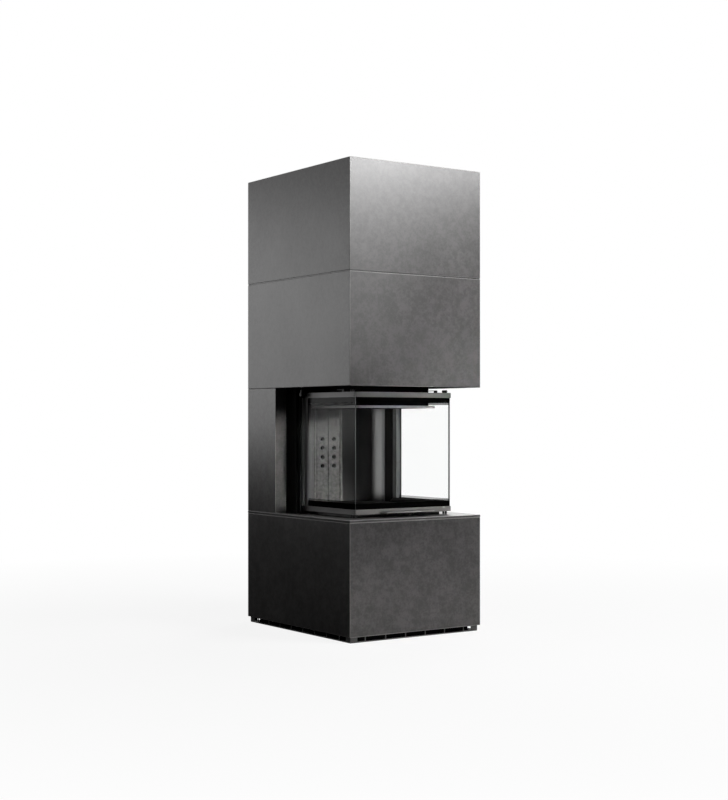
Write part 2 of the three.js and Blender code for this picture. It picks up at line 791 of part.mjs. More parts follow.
// Air slider: a strip behind the front slots, moved sideways by its lever
function addAirSlider() {
  const back = boxFront + sheet + fitGap;
  const half = airSlotPitch * (frontAirSlots - 1) / 2 + airSlotWidth;
  const levels = [leverSlotZ(), leverSlotZ() + sliderHeight];
  let strip = blockSolid([-half, half], [back, back + sliderThickness], levels);
  for (const x of slotPlaces(frontAirSlots))
    strip = strip.subtract(airSlot([x, boxFront, airSlotZ], false));
  const leverX = airSlotPitch / 2;
  const lever = blockSolid([leverX - leverWidth / 2, leverX + leverWidth / 2],
    [boxFront - leverReach, back + overrun], [leverSlotZ(), leverSlotZ() + leverThickness]);
  addPiece(fireplace, 'air_slider', toGeometry(strip.add(lever)), greySteel());
}

// Hearth plate: the chamber's floor, with a rim that slopes at its front and sides
function addHearthPlate() {
  const outline = mirrored([
    [hearthX, hearthFront], [hearthX, armEnd + tongueGap], [chamberX - fitGap, armEnd + tongueGap],
    [chamberX - fitGap, pocketFront + fitGap], [pocketX - fitGap, pocketFront + fitGap],
    [pocketX - fitGap, pocketBack - fitGap],
  ]);
  const rimTop = hearthTop + hearthRimWidth;
  let plate = prismSolid(outline, hearthBottom, rimTop - overrun);
  const tray = (inset, level) => [
    [inset - hearthX, hearthFront + inset, level], [hearthX - inset, hearthFront + inset, level],
    [hearthX - inset, pocketBack, level], [inset - hearthX, pocketBack, level],
  ];
  const lip = overrun;
  plate = plate.subtract(toSolid(loftGeometry([
    tray(lip + hearthRimWidth, hearthTop), tray(lip, rimTop),
  ])));
  plate = plate.subtract(blockSolid([-pocketX, pocketX], [armEnd, pocketBack + overrun],
    [hearthTop, rimTop + overrun]));
  const seat = grateSeat(fitGap);
  plate = plate.subtract(blockSolid(seat.x, seat.y, [hearthTop - grateRebate, rimTop]));
  const hole = grateSeat(-grateLedge);
  plate = plate.subtract(blockSolid(hole.x, hole.y, [hearthBottom - overrun, rimTop]));
  addPiece(fireplace, 'hearth_plate', toGeometry(plate), castIron());
}

const grateSeat = (grow) => ({
  x: [-grateWidth / 2 - grow, grateWidth / 2 + grow],
  y: [-gratePlace - grateDepth / 2 - grow, -gratePlace + grateDepth / 2 + grow],
});

function addGrate() {
  const { x, y } = grateSeat(0);
  const bottom = hearthTop - grateRebate + fitGap;
  const levels = [bottom, bottom + grateThickness];
  let grate = blockSolid(x, y, levels);
  const pitch = (grateWidth - 2 * grateLedge + grateBar) / grateSlots;
  const middles = [[y[0] + grateLedge, -gratePlace - grateBar / 2],
    [-gratePlace + grateBar / 2, y[1] - grateLedge]];
  for (let i = 0; i < grateSlots; i += 1) {
    const start = x[0] + grateLedge + i * pitch;
    for (const run of middles) {
      grate = grate.subtract(blockSolid([start, start + pitch - grateBar], run,
        [bottom - overrun, bottom + grateThickness + overrun]));
    }
  }
  addPiece(fireplace, 'grate', toGeometry(grate), castIron());
}

function addAshPan() {
  const bottom = boxBottom + sheet + fitGap;
  const x = [-panWidth / 2, panWidth / 2];
  const y = [-gratePlace - panDepth / 2, -gratePlace + panDepth / 2];
  const inside = ([low, high]) => [low + panWall, high - panWall];
  const pan = blockSolid(x, y, [bottom, bottom + panHeight]).subtract(blockSolid(
    inside(x), inside(y), [bottom + panWall, bottom + panHeight + overrun]));
  addPiece(fireplace, 'ash_pan', toGeometry(pan), blackSteel());
}

// Smoke hood: a box under the soffit that tapers to the round collar of the flue
function rectangleRing(x, front, back, level) {
  const perSide = hoodSides / 4;
  const turns = [[-x, front], [x, front], [x, back], [-x, back]];
  return turns.flatMap(([x0, y0], i) => {
    const [x1, y1] = turns[(i + 1) % turns.length];
    return Array.from({ length: perSide }, (_, k) =>
      [x0 + (x1 - x0) * k / perSide, y0 + (y1 - y0) * k / perSide, level]);
  });
}

function roundRing(radius, level) {
  return Array.from({ length: hoodSides }, (_, k) => {
    const angle = (k / hoodSides - 3 / 8) * 2 * Math.PI;
    return [radius * Math.cos(angle), flueY + radius * Math.sin(angle), level];
  });
}

function hoodBody(inset, stretch) {
  const [x, front, back] = [hoodX - inset, hoodFront + inset, hoodBack - inset];
  return toSolid(loftGeometry([
    rectangleRing(x, front, back, rimBottom - stretch),
    rectangleRing(x, front, back, hoodShoulder),
    roundRing(flueRadius - inset, collarBottom),
    roundRing(flueRadius - inset, collarTop + stretch),
  ]));
}

function addHood() {
  const rim = blockSolid([-rimX, rimX], [rimFront, shellFront - rimHeight],
    [rimBottom, rimBottom + rimHeight]);
  const ledges = bothSides(blockSolid([hoodX - sheet - ledge, hoodX - overrun],
    [hoodFront + baffleFrontGap, hoodBack - sheet], [baffleBottom - ledge, baffleBottom - fitGap]));
  const hollow = hoodBody(sheet, overrun);
  const hood = hoodBody(0, 0).add(rim).subtract(hollow).add(ledges);
  addPiece(fireplace, 'smoke_hood', toGeometry(hood), blackSteel());
}

function addBaffle() {
  const x = hoodX - sheet - fitGap;
  addPiece(fireplace, 'baffle_plate', blockGeometry([-x, x],
    [hoodFront + baffleFrontGap, hoodBack - sheet - fitGap],
    [baffleBottom, baffleBottom + baffleThickness]), fireBoard());
}

function addFluePipe() {
  const bottom = collarTop - pipeOverlap;
  const outer = uprightCylinder(pipeRadius, 0, flueY, bottom, coverTop, roundSides);
  const bore = uprightCylinder(pipeRadius - pipeWall, 0, flueY,
    bottom - overrun, coverTop + overrun, roundSides);
  addPiece(fireplace, 'flue_pipe', toGeometry(outer.subtract(bore)), blackSteel());
}

// Pulleys turn on the axles of brackets that hang on the casing's inner faces
function addPulleys() {
  const half = pulleyWidth / 2;
  const groove = cableRadius + fitGap;
  const bore = axleRadius + fitGap;
  const profile = [
    [bore, -half], [pulleyEdge, -half], [pulleyEdge, -groove - fitGap], [pulleyFloor, -groove],
    [pulleyFloor, groove], [pulleyEdge, groove + fitGap], [pulleyEdge, half], [bore, half],
    [bore, -half],
  ].map(([radius, across]) => new THREE.Vector2(radius, across));
  for (const [name, side] of [['left', -1], ['right', 1]]) {
    const wheel = new THREE.LatheGeometry(profile, roundSides).rotateZ(Math.PI / 2);
    const pulley = addPiece(fireplace, `pulley_${name}`, wheel, castIron());
    pulley.position.set(side * cableX, pulleyY, pulleyZ);

    const wall = shaftOuter - fitGap;
    const plate = blockSolid([wall - bracketThickness, wall],
      [pulleyY - bracketWidth / 2, pulleyY + bracketWidth / 2],
      [pulleyZ - bracketMargin, pulleyZ + bracketMargin]);
    const pinEnd = cableX - half - fitGap;
    const pin = new THREE.CylinderGeometry(axleRadius, axleRadius, wall - pinEnd, smallSides);
    pin.rotateZ(Math.PI / 2).translate((wall + pinEnd) / 2, pulleyY, pulleyZ);
    const bracket = plate.add(toSolid(pin));
    addPiece(fireplace, `pulley_bracket_${name}`,
      toGeometry(side > 0 ? bracket : bracket.mirror([1, 0, 0])), greySteel());
  }
}

function addCounterweights() {
  const shape = new THREE.Shape([
    [-weightHalf, 0], [weightHalf, 0], [weightHalf, weightHeight - weightCorner],
    [weightHalf - weightCorner, weightHeight], [weightCorner - weightHalf, weightHeight],
    [-weightHalf, weightHeight - weightCorner],
  ].map(([y, z]) => new THREE.Vector2(y, z)));
  const thickness = shaftOuter - shaftInner - 2 * weightGap;
  for (const [name, side] of [['left', -1], ['right', 1]]) {
    const bar = new THREE.ExtrudeGeometry(shape, { depth: thickness, bevelEnabled: false });
    bar.translate(0, 0, -thickness / 2).rotateX(Math.PI / 2).rotateZ(Math.PI / 2);
    const weight = addPiece(fireplace, `counterweight_${name}`, bar, castIron());
    weight.position.set(side * cableX, weightY, weightTop - weightHeight);
  }
}

// Lift cables: up from the door's ear, over the pulley and down to the counterweight
class PulleyArc extends THREE.Curve {
  constructor(x) {
    super();
    this.x = x;
  }

  getPoint(t, target = new THREE.Vector3()) {
    const angle = Math.PI * (1 - t);
    return target.set(this.x, pulleyY + pulleyRadius * Math.cos(angle),
      pulleyZ + pulleyRadius * Math.sin(angle));
  }
}

function addCables() {
  const section = new THREE.Shape();
  section.absarc(0, 0, cableRadius, 0, 2 * Math.PI);
  for (const [name, side] of [['left', -1], ['right', 1]]) {
    const x = side * cableX;
    const route = new THREE.CurvePath();
    route.add(new THREE.LineCurve3(new THREE.Vector3(x, cableY, earTop + fitGap),
      new THREE.Vector3(x, cableY, pulleyZ)));
    route.add(new PulleyArc(x));
    route.add(new THREE.LineCurve3(new THREE.Vector3(x, weightY, pulleyZ),
      new THREE.Vector3(x, weightY, weightTop + fitGap)));
    const cable = new THREE.ExtrudeGeometry(section,
      { steps: cableSteps, extrudePath: route, curveSegments: cableSides, bevelEnabled: false });
    addPiece(fireplace, `lift_cable_${name}`, cable, wireRope());
  }
}

addPlinth();
addFrames();
addModule('base', plinthHeight, baseHeight);
addBaseSlab();
addColumn();
addModule('middle', bodyBottom, middleHeight);
addModule('upper', upperBottom, upperHeight);
addSoffit();
addTopCover();
addCasing();
addShell();
addRails();
addLiners();
addHearthBox();
addAirSlider();
addHearthPlate();
addGrate();
addAshPan();
addHood();
addBaffle();
addFluePipe();
addPulleys();
addCounterweights();
addCables();
addDoorFrames();
addPanes();
addStiles();
addHandle();

export default fireplace;
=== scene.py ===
# modular fireplace with stone cladding and a three-sided lifting door: metres, +Z up, front glass facing -Y
import math

import bmesh
import bpy
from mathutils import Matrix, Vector


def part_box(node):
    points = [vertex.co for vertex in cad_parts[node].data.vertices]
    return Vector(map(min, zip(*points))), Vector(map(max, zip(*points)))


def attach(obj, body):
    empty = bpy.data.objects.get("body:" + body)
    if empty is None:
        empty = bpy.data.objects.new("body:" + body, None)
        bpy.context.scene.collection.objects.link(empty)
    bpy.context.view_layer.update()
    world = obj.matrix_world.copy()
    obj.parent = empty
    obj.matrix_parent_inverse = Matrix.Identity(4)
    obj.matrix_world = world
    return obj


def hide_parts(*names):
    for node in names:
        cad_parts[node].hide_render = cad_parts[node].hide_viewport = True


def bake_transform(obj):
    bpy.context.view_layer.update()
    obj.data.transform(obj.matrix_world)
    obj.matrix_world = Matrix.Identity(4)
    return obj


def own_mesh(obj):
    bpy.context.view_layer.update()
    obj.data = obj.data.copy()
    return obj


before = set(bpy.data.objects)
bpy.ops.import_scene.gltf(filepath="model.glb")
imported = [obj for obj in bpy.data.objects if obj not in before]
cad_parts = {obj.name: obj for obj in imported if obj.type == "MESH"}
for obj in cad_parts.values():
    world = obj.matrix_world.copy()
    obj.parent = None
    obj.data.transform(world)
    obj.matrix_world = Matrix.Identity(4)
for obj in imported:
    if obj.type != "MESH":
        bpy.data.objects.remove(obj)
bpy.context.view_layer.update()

print("frame loaded:", len(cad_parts), "nodes")

axisX, axisY, axisZ = Vector((1, 0, 0)), Vector((0, 1, 0)), Vector((0, 0, 1))
sides = ((-1, "left"), (1, "right"))


# tools for modelling
modelling = {
    "weld": 0.00002,       # vertices closer than this become one
    "cutWeld": 0.000001,   # the same, along a cut
    "flatAngle": 0.5,      # degrees within which facets become one face
    "edgeAngle": 30,       # edges sharper than this are rounded
    "smoothAngle": 50,     # edges sharper than this stay sharp in the shading
    "onPlane": 0.0001,     # how near to a plane a point counts as on it
    "rodCorners": 24,
}


def focus(piece):
    if bpy.context.object and bpy.context.object.mode != "OBJECT":
        bpy.ops.object.mode_set(mode="OBJECT")
    bpy.ops.object.select_all(action="DESELECT")
    piece.select_set(True)
    bpy.context.view_layer.objects.active = piece


def pickParts(piece, kind, chosen):  # edit mode, with the faces or edges that pass the test selected
    focus(piece)
    bpy.ops.object.mode_set(mode="EDIT")
    bpy.ops.mesh.select_mode(type=kind)
    bpy.ops.mesh.select_all(action="DESELECT")
    mesh = bmesh.from_edit_mesh(piece.data)
    for part in (mesh.faces if kind == "FACE" else mesh.edges):
        if chosen(part):
            part.select_set(True)
    bmesh.update_edit_mesh(piece.data)


def leaveEdit():
    bpy.ops.object.mode_set(mode="OBJECT")


def settle(name, finishes):  # a new primitive gets its name and finishes, with its place in its mesh
    piece = bpy.context.object
    bpy.ops.object.transform_apply(location=True, rotation=True, scale=True)
    piece.name = piece.data.name = name
    for finish in finishes:
        piece.data.materials.append(finish)
    return piece


def addBlock(name, low, high, finishes=()):
    low, high = Vector(low), Vector(high)
    bpy.ops.mesh.primitive_cube_add(size=1, location=(low + high) / 2, scale=high - low)
    return settle(name, finishes)


def addRod(name, radius, start, end, finishes=(), corners=modelling["rodCorners"]):
    start, end = Vector(start), Vector(end)
    bpy.ops.mesh.primitive_cylinder_add(
        vertices=corners, radius=radius, depth=(end - start).length, location=(start + end) / 2,
        rotation=(end - start).to_track_quat("Z", "Y").to_euler())
    return settle(name, finishes)


def applyModifier(piece, kind, **settings):
    focus(piece)
    modifier = piece.modifiers.new(kind.lower(), kind)
    for name, value in settings.items():
        setattr(modifier, name, value)
    bpy.ops.object.modifier_apply(modifier=modifier.name)


def smoothOver(piece, angle=modelling["smoothAngle"]):
    focus(piece)
    bpy.ops.object.shade_smooth_by_angle(angle=math.radians(angle))
    applyModifier(piece, "WEIGHTED_NORMAL", keep_sharp=True)


def roundEdges(piece, width, segments=2):
    applyModifier(piece, "BEVEL", width=width, segments=segments, limit_method="ANGLE",
                  angle_limit=math.radians(modelling["edgeAngle"]))
    smoothOver(piece)


def cutAway(piece, cutter):
    applyModifier(piece, "BOOLEAN", operation="DIFFERENCE", solver="EXACT", object=cutter)
    bpy.data.objects.remove(cutter, do_unlink=True)


def joinAll(pieces, name):
    focus(pieces[0])
    for piece in pieces[1:]:
        piece.select_set(True)
    bpy.ops.object.join()
    joined = bpy.context.object
    joined.name = joined.data.name = name
    return joined


def copyPiece(piece, name):
    focus(piece)
    bpy.ops.object.duplicate()
    copy = bpy.context.object
    copy.name = copy.data.name = name
    return copy


def refineNode(node, name, radius):  # a merged copy of a CAD node, with its edges rounded
    piece = copyPiece(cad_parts[node], name)
    piece.parent = None
    for key in [key for key in piece.keys() if key.startswith("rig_")]:
        del piece[key]
    bpy.ops.object.mode_set(mode="EDIT")
    bpy.ops.mesh.select_all(action="SELECT")
    bpy.ops.mesh.customdata_custom_splitnormals_clear()
    bpy.ops.mesh.remove_doubles(threshold=modelling["weld"])
    bpy.ops.mesh.dissolve_limited(angle_limit=math.radians(modelling["flatAngle"]))
    leaveEdit()
    roundEdges(piece, radius)
    return piece


def turnPiece(name, profile, centre, axis, steps, finish):  # profile: closed, (radius, place along the axis)
    side = axisZ if abs(axis.z) < 0.5 else axisX
    points = [centre + side * radius + axis * along for radius, along in profile]
    mesh = bpy.data.meshes.new(name)
    mesh.from_pydata(points, [(i, (i + 1) % len(points)) for i in range(len(points))], [])
    piece = bpy.data.objects.new(name, mesh)
    bpy.context.scene.collection.objects.link(piece)
    focus(piece)
    bpy.ops.object.mode_set(mode="EDIT")
    bpy.ops.mesh.select_all(action="SELECT")
    bpy.ops.mesh.spin(steps=steps, angle=2 * math.pi, center=centre, axis=axis)
    bpy.ops.mesh.select_all(action="SELECT")
    bpy.ops.mesh.remove_doubles(threshold=modelling["weld"])
    bpy.ops.mesh.normals_make_consistent(inside=False)
    leaveEdit()
    coat(piece, finish)
    smoothOver(piece, modelling["edgeAngle"])
    return piece


def coat(piece, *finishes):
    piece.data.materials.clear()
    for finish in finishes:
        piece.data.materials.append(finish)


def dress(piece, body, slot, *nodes):
    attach(piece, body)
    if nodes:
        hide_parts(*nodes)


# tools for finishes
def plug(tree, node, inputs):
    for name, value in inputs.items():
        if isinstance(value, bpy.types.NodeSocket):
            tree.links.new(value, node.inputs[name])
        else:
            node.inputs[name].default_value = value


def addNode(tree, kind, inputs, **settings):
    node = tree.nodes.new("ShaderNode" + kind)
    for name, value in settings.items():
        setattr(node, name, value)
    plug(tree, node, inputs)
    return node


def startFinish(name):
    finish = bpy.data.materials.new(name)
    finish.use_nodes = True
    return finish, finish.node_tree, finish.node_tree.nodes["Principled BSDF"]


def ownPlace(tree):
    return addNode(tree, "TexCoord", {}).outputs["Object"]


def ownHeight(tree):
    return addNode(tree, "SeparateXYZ", {"Vector": ownPlace(tree)}).outputs["Z"]


def noise(tree, scale, detail, roughness, stretch=(1, 1, 1), shift=(0, 0, 0)):
    place = addNode(tree, "Mapping", {"Vector": ownPlace(tree), "Location": shift, "Scale": stretch})
    return addNode(tree, "TexNoise", {
        "Vector": place.outputs[0], "Scale": scale, "Detail": detail, "Roughness": roughness}).outputs[0]


def mix(tree, share, first, second):  # a shader that turns from the first into the second
    return addNode(tree, "MixShader", {0: share, 1: first.outputs[0], 2: second.outputs[0]})


def show(tree, shader):
    tree.links.new(shader.outputs[0], tree.nodes["Material Output"].inputs["Surface"])


def spread(tree, value, low, high, start=0.3, end=0.7):  # a noise value, spread over a range
    return addNode(tree, "MapRange", {
        "Value": value, "From Min": start, "From Max": end, "To Min": low, "To Max": high}).outputs[0]


def combine(tree, first, second, operation="MULTIPLY"):  # two numbers, multiplied or joined otherwise
    return addNode(tree, "Math", {0: first, 1: second}, operation=operation).outputs[0]


def tint(tree, colour, tone):  # a colour, made lighter or darker by a tone
    return addNode(tree, "VectorMath", {0: colour, "Scale": tone}, operation="SCALE").outputs[0]


def bump(tree, height, strength, distance):
    return addNode(tree, "Bump", {
        "Height": height, "Strength": strength, "Distance": distance}).outputs[0]


# finishes: a pattern is scale, detail and roughness, a tone or shine a range, a relief strength and depth
stone = {
    "colour": (0.056, 0.0535, 0.0535),
    "clouds": (4.2, 5, 0.55),
    "cloudTone": (0.91, 1.09),
    "mottle": ((19, 0.36), (52, 0.36), (120, 0.28)),  # scale and share of the patches, flecks and grain
    "mottleDetail": (3, 0.6),
    "mottleTone": (0.74, 1.26),
    "mottleReach": (0.43, 0.57),                      # the noise values that get these tones
    "relief": (0.2, 0.0003),
}
stoneArris = {
    "colour": (0.2, 0.195, 0.193),
    "roughness": 0.4,
    "chips": (350, 3, 0.6),
    "chipTone": (0.75, 1.2),
    "relief": (0.4, 0.0003),
}
paint = {
    "skin": (900, 2, 0.5),
    "dust": (14, 5, 0.6),
    "dustTone": (0.88, 1.14),
    "dustShine": (-0.05, 0.06),
    "depth": 0.0002,
}
steel = {
    "lines": (260, 3, 0.6),
    "stains": (9, 4, 0.6),
    "lineTone": (0.86, 1.12),
    "stainTone": (0.85, 1.1),
    "stainShine": (-0.06, 0.08),
    "relief": (0.12, 0.0002),
}
board = {
    "blotchDetail": (6, 0.65),
    "flakes": 420,
    "flakeTone": (0.9, 1.08),
    "flakeReach": (0, 0.6),
    "smoke": (5, 3, 0.5),
    "smokeStretch": (1, 1, 0.4),
    "smokeTone": (0.9, 1.08),
    "relief": (0.35, 0.0006),
}
iron = {
    "sand": (520, 4, 0.7),
    "heat": (12, 4, 0.6),
    "heatTone": (0.75, 1.3),
    "heatShine": (-0.08, 0.08),
    "metallic": 0.6,
    "relief": (0.5, 0.0005),
}


def shineRange(roughness, shine):
    return [roughness + change for change in shine]


def stoneFinish(name, shift, roughness):
    finish, tree, shader = startFinish(name)
    clouds = noise(tree, *stone["clouds"], shift=shift)
    mottle = 0.0
    for scale, share in stone["mottle"]:
        grains = noise(tree, scale, *stone["mottleDetail"], shift=shift)
        mottle = combine(tree, combine(tree, grains, share), mottle, "ADD")
    tone = combine(tree, spread(tree, clouds, *stone["cloudTone"]),
                   spread(tree, mottle, *stone["mottleTone"], *stone["mottleReach"]))
    plug(tree, shader, {
        "Base Color": tint(tree, stone["colour"], tone),
        "Roughness": spread(tree, clouds, *roughness),
        "Normal": bump(tree, grains, *stone["relief"]),
    })
    return finish


def arrisFinish():  # the ground edges of the stone are lighter and a little rough
    finish, tree, shader = startFinish("stoneArris")
    chips = noise(tree, *stoneArris["chips"])
    plug(tree, shader, {
        "Base Color": tint(tree, stoneArris["colour"], spread(tree, chips, *stoneArris["chipTone"])),
        "Roughness": stoneArris["roughness"],
        "Normal": bump(tree, chips, *stoneArris["relief"]),
    })
    return finish


def paintFinish(name, colour, roughness, orangePeel=0.12, specular=0.5):
    finish, tree, shader = startFinish(name)
    skin = noise(tree, *paint["skin"])
    dust = noise(tree, *paint["dust"])
    plug(tree, shader, {
        "Base Color": tint(tree, colour, spread(tree, dust, *paint["dustTone"])),
        "Roughness": spread(tree, dust, *shineRange(roughness, paint["dustShine"])),
        "Specular IOR Level": specular,
        "Normal": bump(tree, skin, orangePeel, paint["depth"]),
    })
    return finish


def steelFinish(name, colour, roughness, stretch, metallic=1):  # brushed along one axis
    finish, tree, shader = startFinish(name)
    lines = noise(tree, *steel["lines"], stretch=stretch)
    stains = noise(tree, *steel["stains"])
    tone = combine(tree, spread(tree, lines, *steel["lineTone"]), spread(tree, stains, *steel["stainTone"]))
    plug(tree, shader, {
        "Base Color": tint(tree, colour, tone),
        "Metallic": metallic,
        "Roughness": spread(tree, stains, *shineRange(roughness, steel["stainShine"])),
        "Normal": bump(tree, lines, *steel["relief"]),
    })
    return finish


def boardFinish(name, colour, scale, contrast, roughness):  # pressed fire board with mineral flakes
    finish, tree, shader = startFinish(name)
    blotches = noise(tree, scale, *board["blotchDetail"])
    flakes = addNode(tree, "TexVoronoi", {"Vector": ownPlace(tree), "Scale": board["flakes"]})
    flakes = flakes.outputs["Distance"]
    smoke = noise(tree, *board["smoke"], stretch=board["smokeStretch"])
    tone = combine(tree, spread(tree, blotches, 1 - contrast, 1 + contrast),
                   spread(tree, flakes, *board["flakeTone"], *board["flakeReach"]))
    tone = combine(tree, tone, spread(tree, smoke, *board["smokeTone"]))
    plug(tree, shader, {
        "Base Color": tint(tree, colour, tone),
        "Roughness": roughness,
        "Normal": bump(tree, combine(tree, blotches, flakes, "ADD"), *board["relief"]),
    })
    return finish


def ironFinish(name, colour, roughness):  # sand-cast iron
    finish, tree, shader = startFinish(name)
    sand = noise(tree, *iron["sand"])
    heat = noise(tree, *iron["heat"])
    plug(tree, shader, {
        "Base Color": tint(tree, colour, spread(tree, heat, *iron["heatTone"])),
        "Metallic": iron["metallic"],
        "Roughness": spread(tree, heat, *shineRange(roughness, iron["heatShine"])),
        "Normal": bump(tree, sand, *iron["relief"]),
    })
    return finish


glassPrint = {  # black enamel along the panes' long edges, and the dotted fringe inside it
    "colour": (0.0015, 0.0015, 0.0015),
    "bottom": 0.0338,
    "top": 0.0311,
    "fringe": 0.01,
    "fringeCover": 0.3,
}
paneGlass = {
    "clear": (0.993, 0.995, 0.994, 1),
    "refraction": 1.52,
    "coating": 0.16,    # the panes' coating leaves this share of their mirroring
    "smears": (11, 4, 0.6),
    "smearBlur": (0.11, 0.15),
}
groundEdge = {
    "colour": (0.09, 0.093, 0.093),
    "glow": (0.11, 0.115, 0.115, 1),
    "glowShare": 0.5,
    "roughness": 0.3,
    "frost": (700, 2, 0.5),
    "frostTone": (0.85, 1.1),
    "relief": (0.2, 0.0002),
}


def printedBand(tree, node, inset):  # 1 near the pane's bottom and top edges
    low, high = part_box(node)
    height = ownHeight(tree)
    inBottom = combine(tree, height, low.z + glassPrint["bottom"] + inset, "LESS_THAN")
    inTop = combine(tree, height, high.z - glassPrint["top"] - inset, "GREATER_THAN")
    return combine(tree, inBottom, inTop, "MAXIMUM")


def paneFinish(name, node):
    finish, tree, shader = startFinish(name)
    fringe = combine(tree, printedBand(tree, node, glassPrint["fringe"]), glassPrint["fringeCover"])
    cover = combine(tree, printedBand(tree, node, 0), fringe, "MAXIMUM")
    smears = noise(tree, *paneGlass["smears"])
    plug(tree, shader, {"Base Color": (*glassPrint["colour"], 1), "Specular IOR Level": 0.0})
    clear = addNode(tree, "BsdfTransparent", {"Color": paneGlass["clear"]})
    shine = addNode(tree, "BsdfGlossy", {
        "Color": (1, 1, 1, 1), "Roughness": spread(tree, smears, *paneGlass["smearBlur"])})
    outer = combine(tree, 1.0, addNode(tree, "NewGeometry", {}).outputs["Backfacing"], "SUBTRACT")
    mirror = combine(tree, addNode(tree, "Fresnel", {"IOR": paneGlass["refraction"]}).outputs[0], outer)
    mirror = combine(tree, mirror, paneGlass["coating"])
    show(tree, mix(tree, mirror, mix(tree, cover, clear, shader), shine))
    return finish


def groundGlassFinish():  # the panes' ground edges let light through from the side
    finish, tree, shader = startFinish("groundGlassEdge")
    frost = noise(tree, *groundEdge["frost"])
    plug(tree, shader, {
        "Base Color": tint(tree, groundEdge["colour"], spread(tree, frost, *groundEdge["frostTone"])),
        "Roughness": groundEdge["roughness"],
        "Normal": bump(tree, frost, *groundEdge["relief"]),
    })
    glow = addNode(tree, "BsdfTranslucent", {"Color": groundEdge["glow"]})
    edge = mix(tree, groundEdge["glowShare"], shader, glow)
    enamel = addNode(tree, "BsdfPrincipled", {
        "Base Color": (*glassPrint["colour"], 1), "Roughness": groundEdge["roughness"]})
    show(tree, mix(tree, printedBand(tree, "front_glass", 0), edge, enamel))
    return finish


stoneModules = {
    # module: where its pattern starts, and its roughness
    "base": ((0, 0, 0), (0.285, 0.325)),
    "column": ((3.1, 1.7, 0.4), (0.285, 0.325)),
    "middle": ((7.3, 2.2, 5.1), (0.285, 0.325)),
    "upper": ((1.9, 8.6, 3.3), (0.32, 0.36)),
}
stoneFinishes = {module: stoneFinish(module + "Stone", *look) for module, look in stoneModules.items()}
arris = arrisFinish()
blackPaint = paintFinish("blackPowderCoat", (0.0085, 0.0083, 0.0083), 0.5)
sealRubber = paintFinish("sealRubber", (0.02, 0.0195, 0.019), 0.3, 0.05)
casingPaint = paintFinish("casingBlack", (0.0015, 0.0015, 0.0015), 0.7, 0.12, 0.03)
chamberPaint = paintFinish("heatproofBlack", (0.0022, 0.0021, 0.002), 0.62, 0.2, 0.04)
plinthPaint = paintFinish("plinthPowderCoat", (0.06, 0.058, 0.058), 0.5)
# the handle: its top and bottom near-black as painted shade, its side faces light grey as a painted
# highlight
handlePaintedShade = paintFinish("handleTopBottomPaintedShade", (0.02, 0.0195, 0.019), 0.6, 0.05, 0.08)
handleEdge = paintFinish("handleEdge", (0.27, 0.267, 0.264), 0.4, 0.05)
# painted highlight: a light grey for the side faces of the hood's black rim, where light catches it
rimHighlight = paintFinish("hoodRimPaintedHighlight", (0.34, 0.34, 0.334), 0.5, 0.2)
doorPaint = paintFinish("doorGreyPaint", (0.138, 0.135, 0.133), 0.38, 0.08)
guidePaint = paintFinish("guideGrey", (0.011, 0.011, 0.011), 0.5, 0.12, 0.12)
railSteel = steelFinish("railSteel", (0.16, 0.16, 0.16), 0.45, (1, 1, 0.02), 0.3)
stripSteel = steelFinish("stripSteel", (0.08, 0.08, 0.08), 0.45, (1, 1, 0.02), 0.3)
plateSteel = steelFinish("plateSteel", (0.3, 0.3, 0.3), 0.38, (0.05, 1, 1))
screwSteel = steelFinish("screwSteel", (0.12, 0.12, 0.12), 0.35, (1, 1, 1))
ropeSteel = steelFinish("ropeSteel", (0.45, 0.45, 0.46), 0.34, (1, 1, 0.2))
perforatedBoard = boardFinish("perforatedBoard", (0.125, 0.123, 0.12), 60, 0.4, 0.85)
boardEdge = boardFinish("boardEdge", (0.2, 0.198, 0.194), 90, 0.4, 0.8)
plainBoard = boardFinish("plainBoard", (0.115, 0.114, 0.112), 12, 0.06, 0.7)
castIron = ironFinish("castIron", (0.013, 0.0125, 0.012), 0.6)
weightIron = ironFinish("weightIron", (0.03, 0.03, 0.032), 0.55)
groundGlass = groundGlassFinish()
print("finishes ready")


# stone cladding
cladding = {
    "arris": 0.0023,
    "arrisSegments": 3,
    "mitreGap": 0.001,
    "fitGap": 0.0003,
    "smoothAngle": 40,
    "outward": {"front": -axisY, "right": axisX, "back": axisY, "left": -axisX},
    # node: the way it faces, and whether its low and high ends are mitred
    "column": {
        "column_panel_right": (axisX, True, True),
        "column_panel_back": (axisY, True, True),
        "column_panel_left": (-axisX, True, True),
        "reveal_panel_left": (-axisY, True, False),
        "reveal_panel_right": (-axisY, False, True),
    },
}


def cutMitre(piece, corner, along, inward, gap):  # a 45 degree cut that leaves half a joint's gap
    pickParts(piece, "FACE", lambda face: True)
    bpy.ops.mesh.bisect(plane_co=corner + along * gap / math.sqrt(2), plane_no=along - inward,
                        use_fill=True, clear_inner=True, threshold=modelling["cutWeld"])
    leaveEdit()


